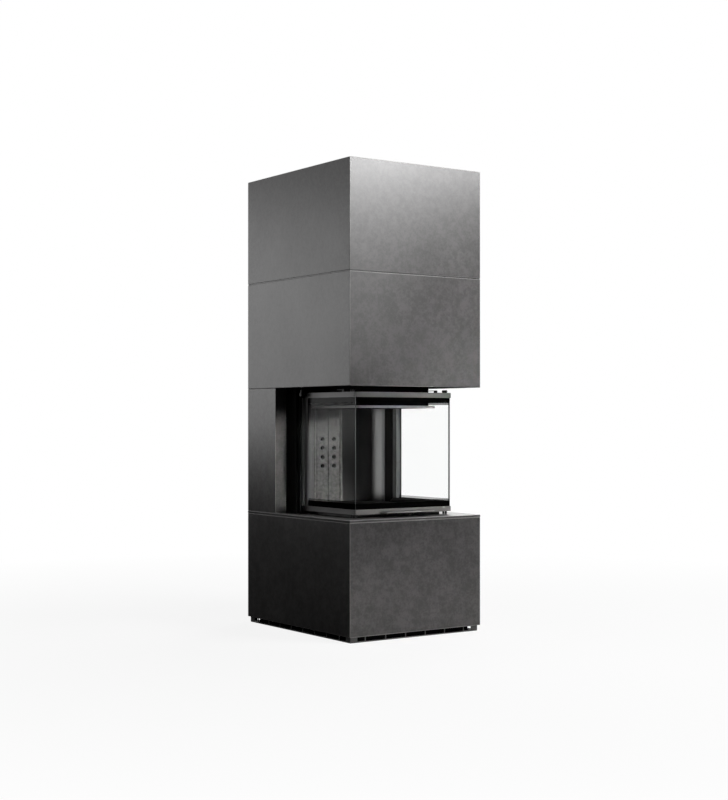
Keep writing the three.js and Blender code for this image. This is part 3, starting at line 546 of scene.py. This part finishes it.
def makePanel(node, outward, mitredLow, mitredHigh, finish):
    low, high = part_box(node)
    run = 1 if outward.x else 0  # the axis that the panel runs along
    along = Vector((0, 0, 0))
    along[run] = 1
    lost = cladding["arris"] / 2 + cladding["mitreGap"] / math.sqrt(8)  # what a mitre takes off the corner
    low[run] -= lost * mitredLow
    high[run] += lost * mitredHigh
    words = node.split("_")
    name = words[0] + "".join(word.title() for word in words[1:])
    piece = addBlock(name, low, high, (finish, arris))
    outer = high if max(outward) > 0.5 else low
    face = outward.dot(outer)
    near = modelling["onPlane"]
    pickParts(piece, "EDGE", lambda edge: all(abs(outward.dot(v.co) - face) < near for v in edge.verts))
    bpy.ops.mesh.bevel(offset=cladding["arris"], segments=cladding["arrisSegments"], material=1)
    leaveEdit()
    corner = outward * face
    if mitredLow:
        cutMitre(piece, corner + along * low[run], along, -outward, cladding["mitreGap"])
    if mitredHigh:
        cutMitre(piece, corner + along * high[run], -along, -outward, cladding["mitreGap"])
    smoothOver(piece, cladding["smoothAngle"])
    dress(piece, "root", "stone_panel", node)


def makeSlab():
    low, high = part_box("base_slab")
    boxLow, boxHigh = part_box("hearth_box")
    slab = addBlock("baseSlab", low, high, (stoneFinishes["column"], arris))
    rim = cladding["arris"]
    pickParts(slab, "EDGE", lambda edge: edge.verts[0].co.z == edge.verts[1].co.z)
    bpy.ops.mesh.bevel(offset=rim, segments=cladding["arrisSegments"], material=1)
    leaveEdit()
    gap = cladding["fitGap"]
    cutAway(slab, addBlock("slabCutter", (boxLow.x - gap, boxLow.y - gap, low.z - rim),
                           (boxHigh.x + gap, boxHigh.y + gap, high.z + rim)))
    smoothOver(slab, cladding["smoothAngle"])
    dress(slab, "root", "stone_panel", "base_slab")


jointSeal = {"setback": 0.0018, "width": 0.012, "gap": 0.0002}


def makeJointSeal():  # a dark seal, set back in the open joint under the upper module
    inset, width, gap = jointSeal["setback"], jointSeal["width"], jointSeal["gap"]
    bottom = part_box("middle_panel_front")[1].z + gap
    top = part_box("upper_panel_front")[0].z - gap
    west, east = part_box("middle_panel_left")[0].x + inset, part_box("middle_panel_right")[1].x - inset
    south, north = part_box("middle_panel_front")[0].y + inset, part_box("middle_panel_back")[1].y - inset
    runs = []
    for start, end in (((west, south), (east, south + width)), ((west, north - width), (east, north)),
                       ((west, south + width), (west + width, north - width)),
                       ((east - width, south + width), (east, north - width))):
        runs.append(addBlock("jointSeal", (*start, bottom), (*end, top), (sealRubber,)))
    dress(joinAll(runs, "jointSeal"), "root", "black_steel")


for module in ("base", "middle", "upper"):
    for side, outward in cladding["outward"].items():
        makePanel(f"{module}_panel_{side}", outward, True, True, stoneFinishes[module])
for node, (outward, mitredLow, mitredHigh) in cladding["column"].items():
    makePanel(node, outward, mitredLow, mitredHigh, stoneFinishes["column"])
makeSlab()
makeJointSeal()
print("cladding done")


# steelwork, liners and castings keep the shape of their solids, with rounded edges
steelwork = {
    # node: name, edge radius, finish, body, slot; what ends in _ stands for a left and a right one
    "base_frame": ("baseFrame", 0.002, blackPaint, "root", "black_steel"),
    "column_frame": ("columnFrame", 0.002, blackPaint, "root", "black_steel"),
    "upper_frame": ("upperFrame", 0.002, blackPaint, "root", "black_steel"),
    "soffit_plate": ("soffitPlate", 0.0006, blackPaint, "root", "black_steel"),
    "top_cover": ("topCover", 0.0006, blackPaint, "root", "black_steel"),
    "firebox_casing": ("fireboxCasing", 0.001, casingPaint, "root", "black_steel"),
    "chamber_shell": ("chamberShell", 0.0008, chamberPaint, "root", "black_steel"),
    "hearth_box": ("hearthBox", 0.0006, blackPaint, "root", "black_steel"),
    "guide_rail_": ("guideRail", 0.0008, guidePaint, "root", "grey_steel"),
    "liner_strip_": ("linerStrip", 0.0005, stripSteel, "root", "grey_steel"),
    "pulley_bracket_": ("pulleyBracket", 0.0006, plateSteel, "root", "grey_steel"),
    "corner_liner_": ("cornerLiner", 0.0015, plainBoard, "root", "fire_board"),
    "side_liner_": ("sideLiner", 0.0015, plainBoard, "root", "fire_board"),
    "baffle_plate": ("bafflePlate", 0.002, plainBoard, "root", "fire_board"),
    "hearth_plate": ("hearthPlate", 0.0012, castIron, "root", "cast_iron"),
    "grate": ("fireGrate", 0.0016, castIron, "grate", "cast_iron"),
    "ash_pan": ("ashPan", 0.0006, chamberPaint, "ash_pan", "black_steel"),
    "air_slider": ("airSlider", 0.0004, plateSteel, "air_slider", "grey_steel"),
    "counterweight_": ("counterweight", 0.002, weightIron, "counterweight_", "cast_iron"),
    "door_stile_": ("doorStile", 0.0008, railSteel, "door", "grey_steel"),
}

for node, (name, radius, finish, body, slot) in steelwork.items():
    for word in (("left", "right") if node.endswith("_") else ("",)):
        piece = refineNode(node + word, name + word.title(), radius)
        coat(piece, finish)
        dress(piece, body + word if body.endswith("_") else body, slot, node + word)


# pieces with a second finish: the plinth's outside, over an inside left near-black as painted shade; the
# edge of the hood's rim, a painted highlight; the handle's cut edge, a painted highlight, over a top and
# bottom dark as painted shade
edgeFaces = {"plinthSkin": 0.0032, "rimHeight": 0.0121, "rimLean": 0.8, "handleLean": 0.6}
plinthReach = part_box("plinth")[1]
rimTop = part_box("smoke_hood")[0].z + edgeFaces["rimHeight"]


# the plinth's outside faces get its grey; all others keep the near-black casing paint as painted shade
# inside the channel and its slots
def onPlinthOutside(face):
    beyond = max(abs(face.center.x) - plinthReach.x, abs(face.center.y) - plinthReach.y)
    return beyond > -edgeFaces["plinthSkin"]


# the hood rim's side faces, which get the painted highlight
def onRimEdge(face):
    return face.center.z < rimTop and abs(face.normal.z) < edgeFaces["rimLean"]


# the handle's side faces, which get the painted highlight; the rest keep the painted shade
def onHandleEdge(face):
    return abs(face.normal.z) < edgeFaces["handleLean"]


twoTone = {
    # node: name, edge radius, first and second finish, the faces with the second, body, slot
    # the plinth's inside: near-black casing paint as painted shade
    "plinth": ("plinthChannel", 0.0006, (casingPaint, plinthPaint), onPlinthOutside, "root", "black_steel"),
    "smoke_hood": ("smokeHood", 0.0008, (chamberPaint, rimHighlight), onRimEdge, "root", "black_steel"),
    "door_handle": ("doorHandle", 0.0006, (handlePaintedShade, handleEdge), onHandleEdge, "door", "door_grey"),
}

for node, (name, radius, finishes, hasSecond, body, slot) in twoTone.items():
    piece = refineNode(node, name, radius)
    coat(piece, *finishes)
    for face in piece.data.polygons:
        face.material_index = 1 if hasSecond(face) else 0
    dress(piece, body, slot, node)


# the back liners: an open joint between them, and a raised rib along their outer edges
backLiner = {
    "joint": 0.002,
    "jointEdge": 0.002,     # how far from the joint its vertices are moved
    "radius": 0.0009,
    "ribWidth": 0.005,
    "ribHeight": 0.0015,
    "ribInset": 0.001,
    "ribEdge": 0.0007,
}


def makeBackLiner(side, word):
    node = "back_liner_" + word
    liner = refineNode(node, "backLiner" + word.title(), backLiner["radius"])
    coat(liner, perforatedBoard)
    low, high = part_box(node)
    inner = low.x if side > 0 else high.x
    for vertex in liner.data.vertices:
        if abs(vertex.co.x - inner) < backLiner["jointEdge"]:
            vertex.co.x += side * backLiner["joint"]
    dress(liner, "root", "fire_board", node)
    outer = high.x if side > 0 else low.x
    start, end = sorted((outer, outer - side * backLiner["ribWidth"]))
    inset = backLiner["ribInset"]
    rib = addBlock("linerRib" + word.title(), (start, low.y - backLiner["ribHeight"], low.z + inset),
                   (end, low.y + inset, high.z - inset), (boardEdge,))
    roundEdges(rib, backLiner["ribEdge"])
    dress(rib, "root", "fire_board")


for side, word in sides:
    makeBackLiner(side, word)
print("steelwork done")


# screws: one of each kind is modelled, then copied to its places
screws = {
    "pan": (0.004, 0.0018),        # radius and height of the head
    "button": (0.0035, 0.0015),
    "crownShare": 0.6,             # how much of the head's height is rounded
    "crownSegments": 3,
    "socketShare": 0.45,           # the hexagon socket's radius, and how high its floor lies
    "socketFloorShare": 0.3,
    "smoothAngle": 35,
    "linerLevels": (0.606, 0.825, 1.04),
    "coverInset": 0.015,
    "coverRow": 4,                 # how many along the top cover's front and back
    "soffitInset": 0.015,
}


def makeScrew(kind):
    radius, height = screws[kind]
    screw = addRod(kind + "Screw", radius, (0, 0, -height), (0, 0, height), (screwSteel,))
    pickParts(screw, "EDGE", lambda edge: all(v.co.z > 0 for v in edge.verts))
    bpy.ops.mesh.bevel(offset=height * screws["crownShare"], segments=screws["crownSegments"])
    leaveEdit()
    socket, floor = radius * screws["socketShare"], height * screws["socketFloorShare"]
    cutAway(screw, addRod("hexKey", socket, (0, 0, floor), (0, 0, 2 * height), corners=6))
    smoothOver(screw, screws["smoothAngle"])
    return screw


def placeScrews(name, screw, places, outward, body, slot="grey_steel"):
    turn = outward.to_track_quat("Z", "Y").to_matrix().to_4x4()
    copies = []
    for place in places:
        copy = copyPiece(screw, name)
        turn.translation = place
        copy.data.transform(turn)
        copies.append(copy)
    dress(joinAll(copies, name), body, slot)


def placeLinerScrews(side, word):
    low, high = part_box("liner_strip_" + word)
    face, middle = low.x if side > 0 else high.x, (low.y + high.y) / 2
    places = [Vector((face, middle, level)) for level in screws["linerLevels"]]
    placeScrews("linerScrews" + word.title(), panScrew, places, -side * axisX, "root")


def placeCoverScrews():
    low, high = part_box("top_cover")
    inset, steps = screws["coverInset"], screws["coverRow"] - 1
    places = []
    for step in range(steps + 1):
        x = low.x + inset + step / steps * (high.x - low.x - 2 * inset)
        places += [Vector((x, low.y + inset, high.z)), Vector((x, high.y - inset, high.z))]
    placeScrews("coverScrews", panScrew, places, axisZ, "root", "black_steel")


def placeSoffitScrews():
    low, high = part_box("soffit_plate")
    inset = screws["soffitInset"]
    places = [Vector((x, y, low.z)) for x in (low.x + inset, high.x - inset)
              for y in (low.y + inset, (low.y + high.y) / 2, high.y - inset)]
    placeScrews("soffitScrews", panScrew, places, -axisZ, "root", "black_steel")


panScrew = makeScrew("pan")
buttonScrew = makeScrew("button")
for side, word in sides:
    placeLinerScrews(side, word)
placeCoverScrews()
placeSoffitScrews()
print("screws done")


# flue pipe, with rolled grooves near its top
fluePipe = {"wall": 0.002, "grooves": 2, "groovePitch": 0.02, "grooveHalf": 0.004, "grooveDepth": 0.0015,
            "steps": 96}


def makeFluePipe():
    low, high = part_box("flue_pipe")
    centre = Vector(((low.x + high.x) / 2, (low.y + high.y) / 2, 0))
    outer = (high.x - low.x) / 2
    half = fluePipe["grooveHalf"]
    grooves = []
    for i in range(fluePipe["grooves"]):
        level = high.z - (i + 1) * fluePipe["groovePitch"]
        grooves += [(outer, level + half), (outer - fluePipe["grooveDepth"], level), (outer, level - half)]
    outside = [(outer, high.z), *grooves, (outer, low.z)]
    inside = [(radius - fluePipe["wall"], level) for radius, level in reversed(outside)]
    pipe = turnPiece("fluePipe", outside + inside, centre, axisZ, fluePipe["steps"], chamberPaint)
    dress(pipe, "root", "black_steel", "flue_pipe")


makeFluePipe()


# pulleys and wire ropes
pulley = {
    "bore": 0.0063,
    "hub": 0.017,
    "web": 0.0035,          # how deep the web is set back on each side
    "webRim": 0.058,
    "webSlope": 0.002,
    "groove": 0.0063,
    "grooveHalf": 0.0023,
    "grooveFlare": 0.0003,
    "steps": 96,
}
rope = {
    "radius": 0.002,
    "strands": 6,
    "strandRadius": 0.00066,
    "lay": 0.03,            # the length in which a strand goes round once
    "pointsPerLay": 8,
    "fewestPoints": 8,
    "fitGap": 0.0003,
    "smoothAngle": 60,
    "ferruleRadius": 0.0042,
    "ferruleLength": 0.014,
    "ferruleEdge": 0.0012,
}


def makePulley(word):
    low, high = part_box("pulley_" + word)
    centre = (low + high) / 2
    rim, half = (high.z - low.z) / 2, (high.x - low.x) / 2
    floor = rim - pulley["groove"]
    web = half - pulley["web"]
    groove, slope = pulley["grooveHalf"], pulley["webSlope"]
    profile = [(pulley["bore"], half), (pulley["hub"], half), (pulley["hub"] + slope, web),
               (pulley["webRim"] - slope, web), (pulley["webRim"], half),
               (rim, half), (rim, groove + pulley["grooveFlare"]), (floor, groove)]
    profile += [(radius, -along) for radius, along in reversed(profile)]
    wheel = turnPiece("pulleyWheel" + word.title(), profile, centre, axisX, pulley["steps"], weightIron)
    dress(wheel, "pulley_" + word, "cast_iron", "pulley_" + word)


def ropePath(word):  # a function that gives the point at a length and the way outwards, and its stations
    low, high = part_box("lift_cable_" + word)
    wheelLow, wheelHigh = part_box("pulley_" + word)
    x, top = (low.x + high.x) / 2, (wheelLow.z + wheelHigh.z) / 2
    radius = high.z - rope["radius"] - top
    middle = (low.y + high.y) / 2
    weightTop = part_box("counterweight_" + word)[1].z + rope["fitGap"]
    rise, turn, drop = top - low.z, math.pi * radius, top - weightTop

    def at(length):
        if length < rise:
            return Vector((x, middle - radius, low.z + length)), -axisY
        if length < rise + turn:
            angle = math.pi - (length - rise) / radius
            out = Vector((0, math.cos(angle), math.sin(angle)))
            return Vector((x, middle, top)) + out * radius, out
        return Vector((x, middle + radius, top - (length - rise - turn))), axisY

    return at, (0, rise, rise + turn, rise + turn + drop)


def makeRopeRun(name, at, start, end):
    reach = rope["radius"] - rope["strandRadius"]
    count = max(rope["fewestPoints"], round((end - start) / rope["lay"] * rope["pointsPerLay"]))
    curve = bpy.data.curves.new(name, "CURVE")
    curve.dimensions = "3D"
    curve.bevel_depth = rope["strandRadius"]
    curve.bevel_resolution = 1
    curve.use_fill_caps = True
    for strand in range(rope["strands"] + 1):  # the last one is the core
        line = curve.splines.new("POLY")
        line.points.add(count)
        for i, point in enumerate(line.points):
            length = start + (end - start) * i / count
            centre, out = at(length)
            angle = 2 * math.pi * (length / rope["lay"] + strand / rope["strands"])
            offset = (out * math.cos(angle) + axisX * math.sin(angle)) * reach
            if strand == rope["strands"]:
                offset = Vector((0, 0, 0))
            point.co = (*(centre + offset), 1)
    run = bpy.data.objects.new(name, curve)
    bpy.context.scene.collection.objects.link(run)
    focus(run)
    bpy.ops.object.convert(target="MESH")
    run = bpy.context.object
    run.name = run.data.name = name
    run.data.materials.append(ropeSteel)
    smoothOver(run, rope["smoothAngle"])
    return run


def makeRope(word):
    at, (start, wheelStart, wheelEnd, end) = ropePath(word)
    node = "lift_cable_" + word
    title = word.title()
    doorRun = makeRopeRun("ropeDoorRun" + title, at, start, wheelStart)
    anchor = at(wheelStart)[0]
    dress(doorRun, "root", "wire_rope", node)
    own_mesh(doorRun)
    dress(makeRopeRun("ropeWheelRun" + title, at, wheelStart, wheelEnd), "root", "wire_rope", node)
    weightRun = makeRopeRun("ropeWeightRun" + title, at, wheelEnd, end)
    tuple(at(wheelEnd)[0])
    tuple(at(end)[0])
    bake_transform(weightRun)
    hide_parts(node)
    for name, length, body in (("doorFerrule", start, "door"),
                               ("weightFerrule", end, "counterweight_" + word)):
        place = at(length)[0]
        sleeve = addRod(name + title, rope["ferruleRadius"], place, place + axisZ * rope["ferruleLength"],
                        (plateSteel,))
        roundEdges(sleeve, rope["ferruleEdge"], segments=3)
        dress(sleeve, body, "grey_steel")


for side, word in sides:
    makePulley(word)
    makeRope(word)
print("pulleys and ropes done")


# door: mitred bars, panes, fittings
door = {
    "barDepth": 0.025,
    "bottomBar": 0.023,
    "topBar": 0.0235,
    "paneSeat": 0.008,
    "seam": 0.0006,
    "edge": 0.0009,
    "fitGap": 0.0003,
    "paneEdge": 0.0006,
    "paneSmoothAngle": 20,
}
frameLow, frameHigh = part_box("door_bottom_frame")
paneLow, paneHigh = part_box("front_glass")
doorLevels = {
    "bottom": (paneLow.z + door["paneSeat"] - door["bottomBar"], paneLow.z + door["paneSeat"]),
    "top": (paneHigh.z - door["paneSeat"], paneHigh.z - door["paneSeat"] + door["topBar"]),
}


def cutPaneSeat(bar, node):
    low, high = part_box(node)
    gap = Vector((door["fitGap"],) * 3)
    cutAway(bar, addBlock("seatCutter", low - gap, high + gap))


def makeFrameBars(level):
    bottom, top = doorLevels[level]
    node = f"door_{level}_frame"
    depth = door["barDepth"]
    front = addBlock(level + "BarFront", (frameLow.x, frameLow.y, bottom),
                     (frameHigh.x, frameLow.y + depth, top), (doorPaint,))
    cutMitre(front, Vector((frameLow.x, frameLow.y, 0)), axisX, axisY, door["seam"])
    cutMitre(front, Vector((frameHigh.x, frameLow.y, 0)), -axisX, axisY, door["seam"])
    cutPaneSeat(front, "front_glass")
    roundEdges(front, door["edge"])
    dress(front, "door", "door_grey", node)
    for side, word in sides:
        outer = side * frameHigh.x
        start, end = sorted((outer, outer - side * depth))
        arm = addBlock(level + "Bar" + word.title(), (start, frameLow.y, bottom), (end, frameHigh.y, top),
                       (doorPaint,))
        cutMitre(arm, Vector((outer, frameLow.y, 0)), axisY, -side * axisX, door["seam"])
        cutPaneSeat(arm, word + "_glass")
        cutPaneSeat(arm, "front_glass")
        roundEdges(arm, door["edge"])
        dress(arm, "door", "door_grey", node)


def makePane(node, name, thin):  # thin is the axis across the pane
    low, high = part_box(node)
    pane = addBlock(name, low, high, (paneFinish(name + "Glass", node), groundGlass))
    pickParts(pane, "FACE", lambda face: abs(face.normal[thin]) < 0.5)
    pane.active_material_index = 1
    bpy.ops.object.material_slot_assign()
    bpy.ops.mesh.select_mode(type="EDGE")
    bpy.ops.mesh.select_all(action="SELECT")
    bpy.ops.mesh.bevel(offset=door["paneEdge"], segments=1, material=1)
    leaveEdit()
    smoothOver(pane, door["paneSmoothAngle"])
    dress(pane, "door", "clear_glass", node)


fittings = {
    "across": (0.003, 0.013),  # the catches' outer and inner edge, from the door's side
    "hingeStart": 0.021,       # behind the door's front
    "hingeLength": 0.031,
    "hingeGap": 0.004,
    "rodRadius": 0.0048,
    "footWidth": 0.006,
    "latchStart": 0.098,
    "latchLength": 0.059,
    "postLength": 0.016,
    "bladeThickness": 0.0035,
    "bladeInset": 0.001,
    "bladeSetback": 0.003,
    "sink": 0.0005,            # how far a catch reaches into the bar below it
    "edge": 0.0006,
    "smallCorners": 20,        # of the pegs and the lug's hole
    "pegRadius": 0.005,
    "pegInset": 0.006,
    "pegSink": 0.001,
    "pegEdge": 0.0008,
    "lugLength": 0.018,
    "lugHeight": 0.016,
    "lugHole": 0.003,
    "lugEdge": 0.001,
    "screwSetback": 0.012,
    "screwShift": 0.005,
}


def catchSpan(side):  # low, high and middle of the catches' width
    low, high = sorted(side * (frameHigh.x - across) for across in fittings["across"])
    return low, high, (low + high) / 2


def makeCatches(side, word):
    low, high, middle = catchSpan(side)
    base, top = doorLevels["top"][1] - fittings["sink"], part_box("door_top_frame")[1].z
    axle, radius = top - fittings["rodRadius"], fittings["rodRadius"]
    hinge, latch = frameLow.y + fittings["hingeStart"], frameLow.y + fittings["latchStart"]
    half = (fittings["hingeLength"] - fittings["hingeGap"]) / 2
    foot, inset = fittings["footWidth"] / 2, fittings["bladeInset"]
    parts = []
    for start in (hinge, hinge + half + fittings["hingeGap"]):
        parts.append(addRod("knuckle", radius, (middle, start, axle), (middle, start + half, axle)))
        parts.append(addBlock("knuckleFoot", (middle - foot, start, base),
                              (middle + foot, start + half, axle)))
    parts.append(addBlock("latchPost", (low, latch, base), (high, latch + fittings["postLength"], top)))
    parts.append(addBlock(
        "latchBlade", (low + inset, latch + fittings["bladeSetback"], top - fittings["bladeThickness"]),
        (high - inset, latch + fittings["latchLength"], top)))
    for part in parts:
        roundEdges(part, fittings["edge"])
    catches = joinAll(parts, "paneCatches" + word.title())
    coat(catches, blackPaint)
    dress(catches, "door", "black_steel", "door_top_frame")


def makeCableLug(side, word):
    boxLow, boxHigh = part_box("door_top_frame")
    top, rear = doorLevels["top"][1], frameHigh.y
    low, high = sorted((side * frameHigh.x, boxHigh.x if side > 0 else boxLow.x))
    length, height, radius = fittings["lugLength"], fittings["lugHeight"], fittings["lugHole"]
    lug = addBlock("cableLug" + word.title(), (low, rear - length, top - height), (high, rear, top))
    hole, level = (low + high) / 2 + side * 2 * radius, top - height / 2
    cutAway(lug, addRod("lugCutter", radius, (hole, rear - 2 * length, level), (hole, rear + length, level),
                        corners=fittings["smallCorners"]))
    roundEdges(lug, fittings["lugEdge"])
    coat(lug, blackPaint)
    dress(lug, "door", "black_steel", "door_top_frame")


def makeRestPegs(side, word):
    middle = catchSpan(side)[2]
    start, inset = frameLow.y + fittings["hingeStart"], fittings["pegInset"]
    top = doorLevels["bottom"][0] + fittings["pegSink"]
    pegs = []
    for y in (start + inset, start + fittings["hingeLength"] - inset):
        pegs.append(addRod("restPeg", fittings["pegRadius"], (middle, y, frameLow.z), (middle, y, top),
                           corners=fittings["smallCorners"]))
    pegs = joinAll(pegs, "restPegs" + word.title())
    roundEdges(pegs, fittings["pegEdge"])
    coat(pegs, blackPaint)
    dress(pegs, "door", "black_steel", "door_bottom_frame")


def makeArmScrews(side, word):
    shift = fittings["screwShift"]
    places = [Vector((side * frameHigh.x, frameLow.y + fittings["screwSetback"], (low + high) / 2 + offset))
              for low, high in doorLevels.values() for offset in (-shift, shift)]
    placeScrews("armScrews" + word.title(), buttonScrew, places, side * axisX, "door")


leverKnob = {
    "x": 0.0375,
    "leverTop": 0.5463,
    "inset": 0.006,
    "radius": 0.0045,
    "height": 0.004,
    "sink": 0.0005,
    "edge": 0.001,
}


def makeLeverKnob():
    tip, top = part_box("air_slider")[0].y + leverKnob["inset"], leverKnob["leverTop"]
    knob = addRod("leverKnob", leverKnob["radius"], (leverKnob["x"], tip, top - leverKnob["sink"]),
                  (leverKnob["x"], tip, top + leverKnob["height"]), (screwSteel,))
    roundEdges(knob, leverKnob["edge"], segments=3)
    dress(knob, "air_slider", "grey_steel")


for level in ("bottom", "top"):
    makeFrameBars(level)
makePane("front_glass", "frontPane", 1)
makePane("left_glass", "leftPane", 0)
makePane("right_glass", "rightPane", 0)
for side, word in sides:
    for makePart in (makeCatches, makeCableLug, makeRestPegs, makeArmScrews):
        makePart(side, word)
makeLeverKnob()
for screw in (panScrew, buttonScrew):
    bpy.data.objects.remove(screw, do_unlink=True)
print("door done")


# studio: pale floor, soft lamps, white background and the photograph's camera
studio = {
    "camera": (-3.9866, -5.7860, 0.974),
    "heading": (0.56875, 0.8225, 0),
    "lens": 66.7,
    "sensor": 36,
    "shift": 0.0256,
    "ambient": 0.02,
    "floorSize": 80,
    "floorColour": 0.8,
    "floorRoughness": 0.9,
    "floorFade": (1.0, 4.0),          # the near and far ends of the fades below
    "floorGlow": (0.88, 1.0),
    "floorShine": (0.15, 1.0),        # how much of the floor's light shows in shine
    "floorBounce": 0.12,              # how much of it falls on other things
    "paintedShadowFade": (-0.006, -0.002),  # where the floor turns dark with a painted shadow, outwards from the plinth's outside
    "wallRadius": 5.2,
    "wallCorners": 96,
    "wallLift": 0.0005,
    "wallTop": 4.5,
    "wallFade": (1.2, 4.5),
}
lamps = {
    # name: place, what it faces, width, height, power, how far its beam spreads, whether it shines on gloss
    "keyLamp": ((1.35, -2.4, 2.84), (0.1, -0.44, 1.85), 1.5, 0.6, 90, 180, True),
    "sheenLamp": ((0.75, -2.35, 2.7), (-0.3, -0.44, 2.0), 0.35, 0.5, 14, 180, True),
    "glowLamp": ((0.9, -2.4, 1.76), (-0.3, -0.44, 1.58), 0.6, 0.9, 0.26, 34, True),
    "openingLamp": ((2.94, -3.85, 1.69), (0, 0.1, 0.95), 0.3, 0.57, 2.4, 16, False),
    "fillLamp": ((0, -6, 0.3), (0, -0.44, 0.15), 1.2, 0.1, 2.1, 10, False),
    "revealLamp": ((-0.342, -0.55, 0.78), (-0.342, 1, 0.78), 0.06, 0.4, 0.125, 11, True),
    "bounceLamp": ((-0.235, 0.187, 0.815), (0.765, 0.157, 0.815), 0.17, 0.42, 0.3, 10, True),
    "bandLamp": ((-2.5, 3.2, 1.67), (-0.36, 0, 1.5), 2.4, 1.78, 31, 180, True),
    "rearLamp": ((3.4, 2.6, 2.6), (0, 0, 1.1), 2.0, 2.0, 80, 180, True),
}


def seenDirectly(tree):  # 1 for rays from the camera, from shine and through glass
    path = addNode(tree, "LightPath", {})
    direct = combine(tree, path.outputs["Is Camera Ray"], path.outputs["Is Glossy Ray"], "MAXIMUM")
    return combine(tree, direct, path.outputs["Is Transmission Ray"], "MAXIMUM")


def makeCamera():
    bpy.ops.object.camera_add(location=studio["camera"])
    camera = bpy.context.object
    camera.rotation_euler = Vector(studio["heading"]).to_track_quat("-Z", "Y").to_euler()
    camera.data.lens = studio["lens"]
    camera.data.sensor_width = studio["sensor"]
    camera.data.shift_y = studio["shift"]
    bpy.context.scene.camera = camera


def makeLamps():
    for name, (place, target, width, height, power, beam, shine) in lamps.items():
        bpy.ops.object.light_add(type="AREA", location=place)
        lamp = bpy.context.object
        lamp.name = name
        lamp.rotation_euler = (Vector(target) - Vector(place)).to_track_quat("-Z", "Y").to_euler()
        lamp.data.shape = "RECTANGLE"
        lamp.data.size, lamp.data.size_y = width, height
        lamp.data.energy = power
        lamp.data.spread = math.radians(beam)
        lamp.visible_camera = False
        lamp.visible_glossy = shine


def makeWorld():
    world = bpy.data.worlds.new("studioWorld")
    bpy.context.scene.world = world
    world.use_nodes = True
    tree = world.node_tree
    tree.nodes.clear()
    ambient = addNode(tree, "Background", {"Color": (1, 1, 1, 1), "Strength": studio["ambient"]})
    shown = addNode(tree, "Background", {"Color": (1, 1, 1, 1), "Strength": 1})
    both = mix(tree, seenDirectly(tree), ambient, shown)
    addNode(tree, "OutputWorld", {"Surface": both.outputs[0]})


def fade(tree, value, start, end, low=0.0, high=1.0, shape="LINEAR"):
    return addNode(tree, "MapRange", {
        "Value": value, "From Min": start, "From Max": end, "To Min": low, "To Max": high},
        interpolation_type=shape).outputs[0]


def paintedPlinthShadow(tree):  # painted shadow on the floor: 0 below the plinth, 1 outside it
    parts = addNode(tree, "SeparateXYZ", {"Vector": ownPlace(tree)}).outputs
    beyond = []
    for axis in (0, 1):
        away = addNode(tree, "Math", {0: parts[axis]}, operation="ABSOLUTE").outputs[0]
        beyond.append(combine(tree, away, plinthReach[axis], "SUBTRACT"))
    return fade(tree, combine(tree, *beyond, "MAXIMUM"), *studio["paintedShadowFade"], shape="SMOOTHSTEP")


def makeFloor():
    bpy.ops.mesh.primitive_plane_add(size=studio["floorSize"])
    floor = bpy.context.object
    floor.name = "studioFloor"
    finish, tree, shader = startFinish("paleFloor")
    reach = addNode(tree, "VectorMath", {0: ownPlace(tree)}, operation="LENGTH").outputs["Value"]
    # painted shadow: below the plinth the floor's glow and colour are taken down to black
    outside = paintedPlinthShadow(tree)
    share = combine(tree, fade(tree, reach, *studio["floorFade"], *studio["floorGlow"]), outside)
    shine = fade(tree, reach, *studio["floorFade"], *studio["floorShine"])
    path = addNode(tree, "LightPath", {})
    strength = addNode(tree, "Mix", {0: path.outputs["Is Glossy Ray"], 2: 1.0, 3: shine}).outputs[0]
    colour = studio["floorColour"]
    tone = fade(tree, path.outputs["Is Diffuse Ray"], 0, 1, colour, colour * studio["floorBounce"])
    plug(tree, shader, {
        "Base Color": tint(tree, (1, 1, 1), combine(tree, tone, outside)),
        "Roughness": studio["floorRoughness"], "Specular IOR Level": 0.0})
    glow = addNode(tree, "Emission", {"Color": (1, 1, 1, 1), "Strength": strength})
    show(tree, mix(tree, combine(tree, seenDirectly(tree), share), shader, glow))
    floor.data.materials.append(finish)


def makeReflectionWall():  # a dark studio wall that only reflections see, fading to white at its top
    bpy.ops.mesh.primitive_cylinder_add(
        vertices=studio["wallCorners"], radius=studio["wallRadius"], depth=studio["wallTop"],
        location=(0, 0, studio["wallTop"] / 2 + studio["wallLift"]))
    wall = settle("reflectionWall", ())
    pickParts(wall, "FACE", lambda face: face.normal.z > 0.5)
    bpy.ops.mesh.delete(type="FACE")
    leaveEdit()
    finish, tree = startFinish("wallFade")[:2]
    strength = fade(tree, ownHeight(tree), *studio["wallFade"], shape="SMOOTHSTEP")
    show(tree, addNode(tree, "Emission", {"Color": (1, 1, 1, 1), "Strength": strength}))
    wall.data.materials.append(finish)
    wall.visible_camera = wall.visible_diffuse = wall.visible_transmission = False
    wall.visible_volume_scatter = wall.visible_shadow = False


makeCamera()
makeLamps()
makeWorld()
makeFloor()
makeReflectionWall()
bpy.context.scene.view_settings.view_transform = "Standard"
print("studio done")
